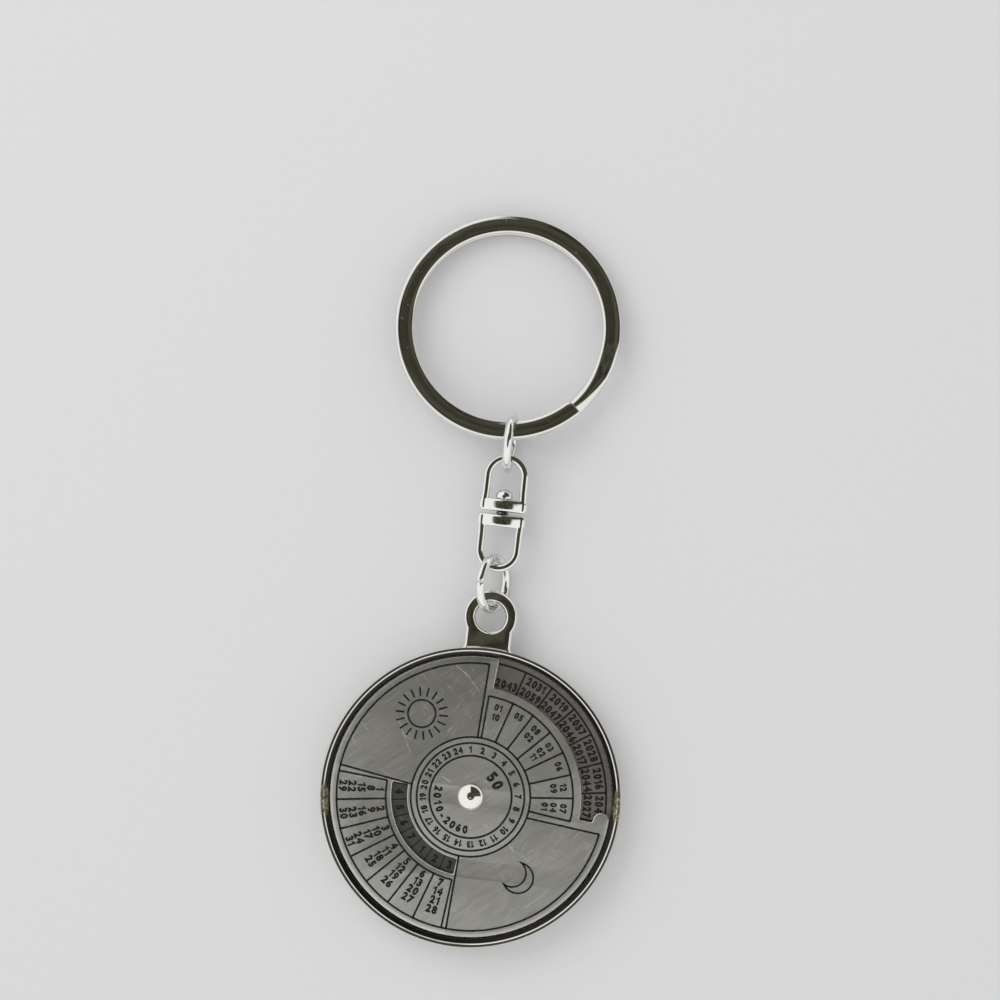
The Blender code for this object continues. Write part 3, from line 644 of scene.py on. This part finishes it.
class Printer:
    """Gathers thin strips and figures on one plate, and makes them one piece."""

    def __init__(self, level, figures):
        self.low = level - 0.010 * MM
        self.high = level + 0.014 * MM
        self.figures = figures
        self.shapes = []

    def strip(self, points, width, closed=False):
        """A strip along any line, its width in millimetres."""
        self.shapes.append(ribbon(points, width * MM, self.low, self.high, closed))

    def line(self, start, end, width):
        """A straight strip between two places."""
        self.strip(np.stack([on_dial(*start), on_dial(*end)]), width)

    def curve(self, radius, start_deg, end_deg):
        """A strip along an arc about the rivet, or the whole circle."""
        whole = abs(end_deg - start_deg) >= 360
        points = arc((0, 0), radius * MM, start_deg + ROLL_DEG, end_deg + ROLL_DEG, 2)
        self.strip(points[:-1] if whole else points, STROKE, whole)

    def number(self, text, radius, photo_deg, height, tops_out=True, squeeze=0.90, gap=0.11):
        """Figures side by side on the tangent at a place; up is away from the rivet, or towards it."""
        up = polar(1 if tops_out else -1, photo_deg + ROLL_DEG)
        along = np.array([up[1], -up[0]])
        middle = on_dial(radius, photo_deg)
        tall = height * MM
        widths = [np.ptp(self.figures[figure][0][:, 0]) * squeeze for figure in text]
        starts = np.cumsum([0.0] + [width + gap for width in widths[:-1]])
        starts -= (starts[-1] + widths[-1]) / 2
        for figure, width, start in zip(text, widths, starts):
            points, faces = self.figures[figure]
            reach = ((points[:, 0] - points[:, 0].min()) * squeeze + start) * tall
            laid = middle + np.outer(reach, along) + np.outer(points[:, 1] * tall, up)
            level = np.where(points[:, 2] > 0, self.high, self.low)
            self.shapes.append((np.column_stack([laid, level]), faces))

    def curved_number(self, text, radius, photo_deg, height, tops_out=True):
        """Figures one after another round an arc."""
        step = math.degrees(0.82 * height / radius) * (-1 if tops_out else 1)
        for index, figure in enumerate(text):
            self.number(figure, radius, photo_deg + (index - (len(text) - 1) / 2) * step, height, tops_out)

    def piece(self, name, material, body):
        return make_piece(name, joined(self.shapes), material, body, crease_deg=30.0)


def figure_one():
    """The figure one, an upright bar with a flag at its upper left, as a thin solid."""
    line = np.array([(0.07, -0.50), (0.30, -0.50), (0.30, 0.50), (0.15, 0.50), (0.02, 0.36), (-0.15, 0.28),
                     (-0.15, 0.09), (-0.03, 0.12), (0.07, 0.19)])
    count = len(line)
    points = np.concatenate([np.column_stack([line, np.full(count, level)]) for level in (-0.01, 0.01)])
    sides = [[at, (at + 1) % count, count + (at + 1) % count, count + at] for at in range(count)]
    return points, sides + [list(range(count))[::-1], list(range(count, 2 * count))]


def figure_shapes():
    """The ten figures and a dash as thin solids one unit tall, middle at the origin, from Blender's own
    lettering; the nine is the six, turned half round."""
    made = {}
    for figure in "02345678-":
        curve = bpy.data.curves.new("figure", "FONT")
        curve.body = figure
        curve.resolution_u = 3
        curve.extrude = 0.01
        curve.offset = 0.064
        holder = put("figure", curve)
        bpy.context.view_layer.update()
        mesh = bpy.data.meshes.new_from_object(holder)
        points = np.empty(len(mesh.vertices) * 3)
        mesh.vertices.foreach_get("co", points)
        points = points.reshape(-1, 3)
        made[figure] = (points, [list(face.vertices) for face in mesh.polygons])
        bpy.data.objects.remove(holder)
        bpy.data.meshes.remove(mesh)
    tall = np.ptp(made["8"][0][:, 1])
    foot = made["8"][0][:, 1].min()
    for figure, (points, faces) in made.items():
        middle = (points[:, 0].min() + points[:, 0].max()) / 2
        made[figure] = ((points - [middle, foot + tall / 2, 0]) / [tall, tall, 1], faces)
    made["1"] = figure_one()
    made["9"] = (made["6"][0] * [-1, -1, 1], made["6"][1])
    return made


# The print's radii, widths and heights in millimetres, and its angles in degrees; a place is (radius, angle)
STROKE = 0.265
EDGE_LINE = 17.9
EDGE_SPAN = (81.8, 343.8)
MIDDLE_LINES = (8.0, 7.2, 5.5)
MONTH_LINE = 13.7
DATE_LINE = 11.33
YEAR_LINES = (14.3, 18.15)
SUN_SIDES = (((8.0, 83.2), (17.95, 81.8)), ((8.0, 167.6), (17.95, 165.9)))
MOON_SIDES = (((8.0, 258.7), (17.95, 259.4)), ((8.0, -20.6), (17.95, -16.3)))
MONTH_EDGES = [79.6, 65.4, 52.3, 38.9, 25.6, 12.4, -0.9, -13.9]
MONTHS = [("01", "10"), ("05",), ("08", "02"), ("03", "02", "11"), ("06",), ("12", "09"), ("07", "04", "01")]
MONTH_RADII = [12.47, 11.15, 9.98]
MONTH_HEIGHT = 0.95
DATE_EDGES = [168.6, 181.0, 193.7, 206.4, 219.0, 231.8, 244.4, 257.3]
DATE_RADII = [12.10, 13.32, 14.58, 15.86, 17.08]
DATE_HEIGHT = 1.16
HOUR_RADIUS = 6.36
HOUR_HEIGHT = 0.94
SPAN_PLACE = (4.42, 213)
SPAN_HEIGHT = 1.12
COUNT_PLACE = (3.95, 33)
COUNT_HEIGHT = 1.6
SUN_PLACE = (12.9, 120.3)
SUN_RADIUS = 1.84
RAYS = 18
RAY_ENDS = (2.34, 3.52)
MOON_PLACE = (12.55, -59.7)
MOON_RADIUS = 2.05
MOON_BITE = 1.85
MOON_SHIFT = 1.0
MOON_OPEN = 140
YEAR_COLUMNS = 28
YEAR_START = 78.64
YEAR_RADII = (17.22, 15.66)
YEAR_HEIGHT = 1.17
WEEKDAYS = "4567123"
WEEKDAY_LINES = (8.3, 10.8)
WEEKDAY_START = 182.2
WEEKDAY_RADIUS = 9.55
WEEKDAY_HEIGHT = 1.15


def crescent(middle):
    """The moon, two arcs that meet in points. The inner one, of radius bite, is about a middle shifted
    towards the open side."""
    radius, bite, shift = MOON_RADIUS * MM, MOON_BITE * MM, MOON_SHIFT * MM
    far = (radius ** 2 - bite ** 2 + shift ** 2) / (2 * shift)
    horn = math.degrees(math.acos(far / radius))
    inner_horn = math.degrees(math.acos((far - shift) / bite))
    outer = arc((0, 0), radius, horn, 360 - horn, 6)
    inner = arc((shift, 0), bite, 360 - inner_horn, inner_horn, 6)[1:-1]
    return turn_flat(np.concatenate([outer, inner]), MOON_OPEN + ROLL_DEG) + middle


def print_dial(figures, ink):
    """The dial's lines, months, dates, hours and signs."""
    ink_on = Printer(DIAL_TOP, figures)
    ink_on.curve(EDGE_LINE, *EDGE_SPAN)
    for radius in MIDDLE_LINES:
        ink_on.curve(radius, 0, 360)
    for start, end in (*SUN_SIDES, *MOON_SIDES):
        ink_on.line(start, end, STROKE)
    ink_on.curve(MONTH_LINE, MONTH_EDGES[0], MONTH_EDGES[-1])
    for degrees in MONTH_EDGES:
        ink_on.line((MIDDLE_LINES[0], degrees), (MONTH_LINE + 0.05, degrees), STROKE)
    for months, left, right in zip(MONTHS, MONTH_EDGES, MONTH_EDGES[1:]):
        for month, radius in zip(months, MONTH_RADII):
            ink_on.number(month, radius, (left + right) / 2, MONTH_HEIGHT)
    ink_on.curve(DATE_LINE, DATE_EDGES[0], DATE_EDGES[-1])
    for degrees in DATE_EDGES:
        ink_on.line((DATE_LINE, degrees), (EDGE_LINE, degrees), STROKE)
    for column, (left, right) in enumerate(zip(DATE_EDGES, DATE_EDGES[1:])):
        dates = range(column + 1, 32, 7)
        for date, radius in zip(dates, DATE_RADII):
            ink_on.number(str(date), radius, (left + right) / 2, DATE_HEIGHT, tops_out=False)
    for hour in range(1, 25):
        ink_on.number(str(hour), HOUR_RADIUS, 105 - 15 * hour, HOUR_HEIGHT)
    ink_on.curved_number("2010-2060", *SPAN_PLACE, SPAN_HEIGHT, tops_out=False)
    ink_on.curved_number("50", *COUNT_PLACE, COUNT_HEIGHT)
    sun = on_dial(*SUN_PLACE)
    ink_on.strip(arc(sun, SUN_RADIUS * MM, 0, 360, 6)[:-1], 0.25, closed=True)
    for ray in range(RAYS):
        out = polar(1.0, 360 / RAYS * ray - 6 + ROLL_DEG)
        ink_on.strip(np.stack([sun + out * end * MM for end in RAY_ENDS]), 0.24)
    ink_on.strip(crescent(on_dial(*MOON_PLACE)), 0.25, closed=True)
    return ink_on.piece("dial_print", ink, "dial")


def year_columns():
    """28 columns, clockwise from the window's left end, each an outer and an inner year. A column's years
    share the weekday of their first of March, and that weekday goes back by one from column to column."""
    shown = [(None, 2043), (2031, 2059), (2019, 2047), (2057, 2046), (2028, 2017), (2016, 2044), (2049, 2027)]
    columns = list(shown)
    used = {year for pair in shown for year in pair}
    for _ in range(3):
        for weekday in (6, 5, 4, 3, 2, 1, 0):
            fitting = [year for year in range(2010, 2061)
                       if datetime.date(year, 3, 1).weekday() == weekday and year not in used]
            pair = (fitting + [None, None])[:2]
            used.update(pair)
            columns.append(tuple(pair))
    return columns


def print_year_plate(figures, ink):
    """The plate's columns of years, clockwise, and its row of weekdays, the other way round."""
    ink_on = Printer(YEAR_PLATE_TOP, figures)
    pitch = 360 / YEAR_COLUMNS
    for radius in YEAR_LINES[::-1]:
        ink_on.curve(radius, 0, 360)
    for column, years in enumerate(year_columns()):
        left = YEAR_START - pitch * column
        ink_on.line((YEAR_LINES[0], left), (YEAR_LINES[1], left), STROKE)
        for year, radius in zip(years, YEAR_RADII):
            if year:
                ink_on.number(str(year), radius, left - pitch / 2, YEAR_HEIGHT, squeeze=0.84)
    for column in range(YEAR_COLUMNS):
        left = WEEKDAY_START + pitch * column
        ink_on.line((WEEKDAY_LINES[0], left), (WEEKDAY_LINES[1], left), 0.14)
        ink_on.number(WEEKDAYS[column % 7], WEEKDAY_RADIUS, left - pitch / 2, WEEKDAY_HEIGHT, tops_out=False)
    return ink_on.piece("year_plate_print", ink, "case")


# Rivet, swivel, wire rings and split ring

def rivet():
    """A cap of a sphere, 46 degrees steep at its edge, with the setting tool's shallow mark in its crown, a
    short upright wall, and the shank."""
    cap_radius, head_radius, shank_radius, soft = 1.66 * MM, 1.7 * MM, 1.0 * MM, 0.05 * MM
    crown, seat, tip = 4.7 * MM, 3.60 * MM, 1.05 * MM
    slope = np.radians(np.linspace(0, 46, 40))
    across = cap_radius * np.sin(slope) / math.sin(slope[-1])
    drop = cap_radius * (1 - np.cos(slope)) / math.sin(slope[-1])
    mark = 0.025 * MM * np.exp(-((across / MM - 0.15) / 0.09) ** 2)
    cap = np.stack([across, crown - drop - mark], axis=1)
    wall = rounded([cap[-1], (head_radius, cap[-1][1] - soft), (head_radius, seat), (shank_radius, seat),
                    (shank_radius, tip), (0, tip)], [0, soft, soft, 0, 0, 0])
    return turned(np.concatenate([cap[:-1], wall]), 96)


def wire_ring(diameter, wire, butt_deg, butt_gap, offset, lean_deg, middle):
    """A round wire bent to a circle, open at its butt joint, its ends trimmed round. One end is sprung out of
    line, up by the offset and outwards by half of it, and comes back as exp(-share / 0.08) and / 0.05."""
    radius = (diameter - wire) / 2
    half_gap = math.degrees(butt_gap / 2 / radius)
    trim = np.array([1.0, 0.45, 0.12, 0.0]) * 0.10 * MM
    near_end = np.array([0.0, 0.0015, 0.004, 0.009])
    share = np.concatenate([near_end, np.linspace(0.014, 0.986, 150), (1 - near_end)[::-1]])
    angle = np.radians(butt_deg + half_gap + share * (360 - 2 * half_gap))
    inset = np.zeros(len(share))
    inset[:4] = trim
    inset[-4:] = trim[::-1]
    swing = offset * np.exp(-share / 0.08)
    reach = radius + 0.5 * offset * np.exp(-share / 0.05)
    sides = outward(angle)
    centres = reach[:, None] * sides + swing[:, None] * UP
    around = np.linspace(0, 2 * math.pi, 28, endpoint=False)
    circle = np.stack([np.cos(around), np.sin(around)], axis=1)
    sections = (wire / 2 - inset)[:, None, None] * circle[None, :, :]
    return tipped(swept(centres, sides, UP, sections), 1, math.radians(lean_deg), middle)


def oval(half_width, half_height, power, steps=48):
    """A closed section between an ellipse and a rectangle: |x / a|^n + |y / b|^n = 1."""
    turn = np.linspace(0, 2 * math.pi, steps, endpoint=False)
    x, y = np.cos(turn), np.sin(turn)
    return np.stack([half_width * np.sign(x) * np.abs(x) ** (2 / power),
                     half_height * np.sign(y) * np.abs(y) ** (2 / power)], axis=1)


def bevelled(section, inner, outer):
    """A strip's section with its upper corners slanted away: x moves from each side towards the other by that
    side's amount, in proportion to the height above the lower part and to the nearness to the side."""
    across, up = section[:, 0] / section[:, 0].max(), section[:, 1] / section[:, 1].max()
    slide = np.clip((up + 0.5) / 1.5, 0, 1) * (inner * (1 - across) - outer * (1 + across)) / 2
    return section + np.stack([slide, 0 * slide], axis=1)


def frame_limbs():
    """The frame's two limbs and its arch: one oval section carried up, round the half circle and down."""
    base = BAR_GAP / 2
    arch = base + FRAME_LENGTH - FRAME_WIDTH / 2
    half = FRAME_WIDTH / 2 - FRAME_LIMB / 2
    foot = np.array([[half + 0.12 * MM, base + 0.45 * MM], [half + 0.10 * MM, base + 1.0 * MM],
                     [half + 0.05 * MM, base + BAR_HEIGHT], [half + 0.01 * MM, base + 2.6 * MM]])
    line = np.concatenate([foot, arc((0, arch), half, 0, 180, 3), (foot * [-1, 1])[::-1]])
    ahead = heading(line)
    sides = np.column_stack([ahead[:, 1], -ahead[:, 0], np.zeros(len(line))])
    depth = np.interp(line[:, 1], [base + 1.2 * MM, base + 3.2 * MM], [0.56 * MM, 0.65 * MM])
    sections = np.stack([oval(FRAME_LIMB / 2, deep, 2.9) for deep in depth])
    return swept(np.column_stack([line, np.zeros(len(line))]), sides, UP, sections)


def frame_bar():
    """The frame's bar, swelling to its boss: half thickness 1.14 - 0.088 x^2 mm, its ends rounded off."""
    base = BAR_GAP / 2 + BAR_HEIGHT / 2
    reach = 3.18 * MM
    along = reach * np.sin(np.radians(np.linspace(-90, 90, 61)))
    close = np.sqrt(np.clip(1 - (np.clip(np.abs(along) - 2.62 * MM, 0, None) / (0.565 * MM)) ** 2, 0.0025, 1))
    thick = np.maximum(1.14 * MM - 88 * along ** 2, 0.58 * MM) * (0.25 + 0.75 * close)
    tall = BAR_HEIGHT / 2 * (0.20 + 0.80 * close)
    sections = np.stack([oval(high, deep, 4.6) for high, deep in zip(tall, thick)])
    centres = np.column_stack([along, np.full(len(along), base), 0 * along])
    return swept(centres, [0.0, 1.0, 0.0], UP, sections)


def swivel_pin(middle):
    """Domed head, shank with the thin collar that keeps the frames apart, and countersunk tail, turned and
    laid along +Y. The dome is a quarter oval: (r / radius)^2.5 + (z / height)^2.5 = 1."""
    shank, head_radius, head_height, tail_radius = 0.6 * MM, 1.22 * MM, 1.2 * MM, 0.85 * MM
    collar_radius, collar_end = 0.79 * MM, 0.14 * MM
    bar_end = BAR_GAP / 2 + BAR_HEIGHT
    seat = bar_end + 0.08 * MM
    slope = np.radians(np.linspace(90, 0, 19))
    across, up = (np.clip(part, 0, 1) ** (2 / 2.5) for part in (np.cos(slope), np.sin(slope)))
    dome = np.stack([head_radius * across, seat + head_height * up], axis=1)
    rim = rounded([dome[-2], (head_radius, seat), (shank, seat)], [0, 0.04 * MM, 0], 3)
    collar = rounded([(shank, collar_end), (collar_radius, collar_end), (collar_radius, -collar_end),
                      (shank, -collar_end)], [0, 0.05 * MM, 0.05 * MM, 0], 3)
    tail = [(shank, 0.35 * MM - bar_end), (tail_radius, -bar_end), (0, -bar_end)]
    return tipped(turned(np.concatenate([dome[:-2], rim[1:], collar, tail]), 64), 0, -math.pi / 2, middle)


def split_ring():
    """One strip wound twice: angle runs down from the top end, and the height steps from one turn to the
    other along a straight slope with eased ends. Each section stands square to the path. Along the step it is
    pressed to a fuller oval, and more and more of its upper corners slants away, up to the top end above."""
    radius, rise, half_width, half_thickness, end_round = 13.89 * MM, 0.715 * MM, 1.2 * MM, 0.5 * MM, 0.8 * MM
    top_end, step_start, step_span = -43.7, -9.0, 40.0
    top_turn = 360 + top_end - step_start
    total = top_turn + 356
    near_end = np.array([0, 0.12, 0.35, 0.7, 1.1, 1.6, 2.2, 2.8])
    travelled = np.concatenate([near_end, np.linspace(3.5, total - 3.5, 700), (total - near_end)[::-1]])
    angle = np.radians(top_end - travelled)
    share = np.clip((travelled - top_turn) / step_span, 0, 1)
    fall = 1.25 * np.clip(share - 0.1, 0, 0.8)
    eased = np.convolve(np.pad(fall, 12, mode="edge"), np.ones(25) / 25, mode="valid")
    sides = outward(angle)
    centres = radius * sides + rise * (1 - 2 * eased)[:, None] * UP
    ups = np.cross(heading(centres), sides)
    ups *= np.sign(ups[:, 2:])
    inset = np.zeros(len(travelled))
    inset[:4] = np.array([0.16, 0.08, 0.03, 0.0]) * MM
    inset[-4:] = inset[:4][::-1]
    from_end = radius * np.radians(np.minimum(travelled, total - travelled))
    trimmed = end_round - np.sqrt(end_round ** 2 - np.clip(end_round - from_end, 0, None) ** 2)
    centres += sides * (trimmed / 2)[:, None]
    pressed = np.sin(math.pi * np.clip((travelled - top_turn - 4) / (step_span + 22), 0, 1)) ** 2
    back = np.clip((top_turn + 60 - travelled) / 14, 0, 1)
    inner = 0.32 * MM * back * np.clip((travelled - top_turn - 1) / 36, 0, 1)
    outer = 1.05 * MM * back * np.clip((travelled - top_turn - 12) / 28, 0, 1)
    rows = zip(half_width - inset - trimmed / 2, half_thickness - inset, 3.6 - 1.2 * pressed, inner, outer)
    sections = np.stack([bevelled(oval(wide, thick, power), *slants) for wide, thick, power, *slants in rows])
    joint = JOINTS["ring_turn"]
    return tipped(swept(centres, sides, ups, sections), 0, -math.asin(joint["axis"][1]), joint["pos_m"])


# Studio

def make_camera():
    """Straight above the photo's middle, rolled as the photo is."""
    data = bpy.data.cameras.new("photo_camera")
    data.sensor_width = 36.0
    data.lens = data.sensor_width * CAMERA_ABOVE_RIM / SEEN_WIDTH
    data.clip_start = 0.01
    data.clip_end = 20.0
    camera = put("photo_camera", data)
    camera.location = (*CAMERA_MIDDLE, CASE_HEIGHT + CAMERA_ABOVE_RIM)
    camera.rotation_euler = (0.0, 0.0, math.radians(ROLL_DEG))
    bpy.context.scene.camera = camera


# The room: directions of its bright side and of its dark cap, the angles over which the cap ends, and the
# bearings that the dark wedge lies between; the lamp, and the middle of what it lights, in metres
BRIGHT_SIDE = (-0.72, 0.20, 0.66)
CAP_TOWARDS = (0.03, 0.09, 0.995)
CAP_ENDS_DEG = (29, 22)
WEDGE_DEG = (98, 6)
LAMP_PLACE = (-0.42, 0.34, 0.52)
LAMP_WIDTH = 0.60
LAMP_WATTS = 1.3
KEYRING_MIDDLE = (0.0, 0.03, 0.0)


def make_world():
    """A pale room, brighter to the left, dark overhead and from there out to the upper right, as the flat and
    the domed plating in the photo show it. Only reflections see the dark part; the camera sees pale walls."""
    world = bpy.data.worlds.new("studio")
    world.use_nodes = True
    tree = world.node_tree
    tree.nodes.clear()
    way = add(tree, "TexCoord").outputs["Generated"]

    def along(direction):
        return vector("DOT_PRODUCT", way, direction)

    room = ramp(along(BRIGHT_SIDE), -0.7, 0.9, 0.90, 1.20)
    cap = ramp(along(CAP_TOWARDS), *(math.cos(math.radians(angle)) for angle in CAP_ENDS_DEG))
    right_edge, left_edge = (ramp(along((*polar(1, bearing), 0.0)), -0.05, 0.05) for bearing in WEDGE_DEG)
    reach = ramp(along(UP), 0.20, 0.34)
    wedge = times(times(right_edge, left_edge), reach)
    dark = maths("MAXIMUM", cap, wedge)
    shade = blend(room, (0.0, 0.0, 0.0), (1.0, 1.0, 0.985))
    patch = add(tree, "TexNoise", {"Vector": way, "Scale": 7.0, "Detail": 2.0}).outputs["Fac"]
    gloom = blend(ramp(patch, 0.40, 0.60), (0.032, 0.027, 0.019), (0.084, 0.084, 0.058))
    seen = blend(dark, shade, gloom)
    path = add(tree, "LightPath").outputs
    glossy = add(tree, "Background", {"Color": seen, "Strength": 1.0})
    fill = add(tree, "Background", {"Color": (1.0, 1.0, 1.0, 1.0), "Strength": 0.79})
    walls = add(tree, "Background", {"Color": (0.90, 0.905, 0.905, 1.0), "Strength": 1.0})
    lit = add(tree, "MixShader", {0: path["Is Glossy Ray"], 1: fill.outputs[0], 2: glossy.outputs[0]})
    shown = add(tree, "MixShader", {0: path["Is Camera Ray"], 1: lit.outputs[0], 2: walls.outputs[0]})
    out = add(tree, "OutputWorld")
    tree.links.new(shown.outputs[0], out.inputs["Surface"])
    bpy.context.scene.world = world


def make_light():
    """One large soft lamp to the upper left."""
    data = bpy.data.lights.new("key", "AREA")
    data.shape = "DISK"
    data.size = LAMP_WIDTH
    data.energy = LAMP_WATTS
    lamp = put("key", data)
    lamp.visible_glossy = False
    lamp.location = LAMP_PLACE
    lamp.rotation_euler = (lamp.location - Vector(KEYRING_MIDDLE)).to_track_quat("Z", "Y").to_euler()


def make_floor():
    """A wide pale sheet at the height that the keyring lies on: rings of points, each wider than the last."""
    radius = np.concatenate([[0.0], np.geomspace(0.02, 4.0, 24)])
    profile = np.stack([radius, 0 * radius], axis=1)
    points, faces = turned(profile, 64)
    floor = put_mesh("floor", (points + KEYRING_MIDDLE, faces), floor_paper("floor_paper"))
    if floor.data.polygons[0].normal.z < 0:
        floor.data.flip_normals()


def dress_node(node, material):
    """Gives a node of the frame its finish."""
    mesh = frame["nodes"][node].data
    mesh.materials.clear()
    mesh.materials.append(material)


def main():
    make_camera()
    # The case's plating carries painted shade down the pocket's wall.
    case_plate = plating("case_plating", NICKEL, 0.06, RIM_WEAR, grimy_and_shaded=True)
    wire_plate = plating("wire_plating", BRIGHT_NICKEL, 0.05)
    # The swivel's plating carries a spot of soil and painted shade at the neck between its frames.
    swivel_plate = plating("swivel_plating", BRIGHT_NICKEL, 0.05, wave=1.4, soil_and_shade=SWIVEL_SOIL_AND_SHADE)
    ring_plate = plating("split_ring_plating", NICKEL, 0.06, RING_WEAR, wave=0.5)
    rivet_plate = plating("rivet_plating", RIVET_NICKEL, 0.06)
    dial_metal = brushed("dial_metal", (0.85, 0.84, 0.813), (0.75, 0.74, 0.717), 0.34, 32 + ROLL_DEG,
                         HAIRS_DIAL, (MIDDLE_LINES[0] * MM, (0.97, 0.96, 0.93)), GOUGES, DIAL_RADIUS,
                         (SUN_SIDES, MOON_SIDES))
    year_metal = brushed("year_plate_metal", (0.40, 0.375, 0.35), (0.31, 0.285, 0.265), 0.40, 20 + ROLL_DEG,
                         HAIRS_PLATE, (11.3 * MM, (0.19, 0.19, 0.176)))
    washer_metal = brushed("washer_brass", (0.75, 0.58, 0.30), (0.62, 0.47, 0.22), 0.35, 0, HAIRS_PLATE)
    ink = print_ink("print_ink", (0.012, 0.011, 0.010))

    make_piece("case_shell", case_shell(), case_plate, "case", ["case"])
    make_piece("case_lug", lug_plate(), case_plate, "case", ["case"])
    make_piece("dial_plate", dial_plate(), dial_metal, "dial", ["dial"])
    make_piece("domed_rivet", rivet(), rivet_plate, "case", ["centre_rivet"])
    dress_node("year_plate", year_metal)
    dress_node("dial_washer", washer_metal)
    figures = figure_shapes()
    print_dial(figures, ink)
    print_year_plate(figures, ink)

    middle = Vector(JOINTS["swivel_spin"]["pos_m"])
    points, faces = joined([frame_limbs(), frame_bar()])
    for name, direction, body in (("upper", 1, "swivel_upper"), ("lower", -1, "swivel_lower")):
        shape = (points * [1, direction, 1] + middle, faces)
        node = f"swivel_{name}_frame"
        make_piece(f"{name}_swivel_frame", shape, swivel_plate, body, [node])
    pin = swivel_pin(middle)
    make_piece("headed_pin", pin, swivel_plate, "swivel_lower", ["swivel_pin"])
    for name, node, aside, diameter, wire, butt, gap, offset, lean, body in (
            ("bent_jump_ring", "lug_jump_ring", -0.2, 8.1, 1.15, 178, 0.18, 0.18, 60, "jump_ring"),
            ("bent_ring_link", "ring_link", 0.0, 8.399, 1.18, 52, 0.10, 0.0, 85, "link")):
        low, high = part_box(node)
        centre = (aside * MM, (low.y + high.y) / 2, (low.z + high.z) / 2)
        shape = wire_ring(diameter * MM, wire * MM, butt, gap * MM, offset * MM, lean, centre)
        make_piece(name, shape, wire_plate, body, [node])
    ring = split_ring()
    make_piece("wound_split_ring", ring, ring_plate, "split_ring", ["split_ring"])

    make_world()
    make_light()
    make_floor()
    bpy.context.scene.view_settings.view_transform = "Standard"


main()
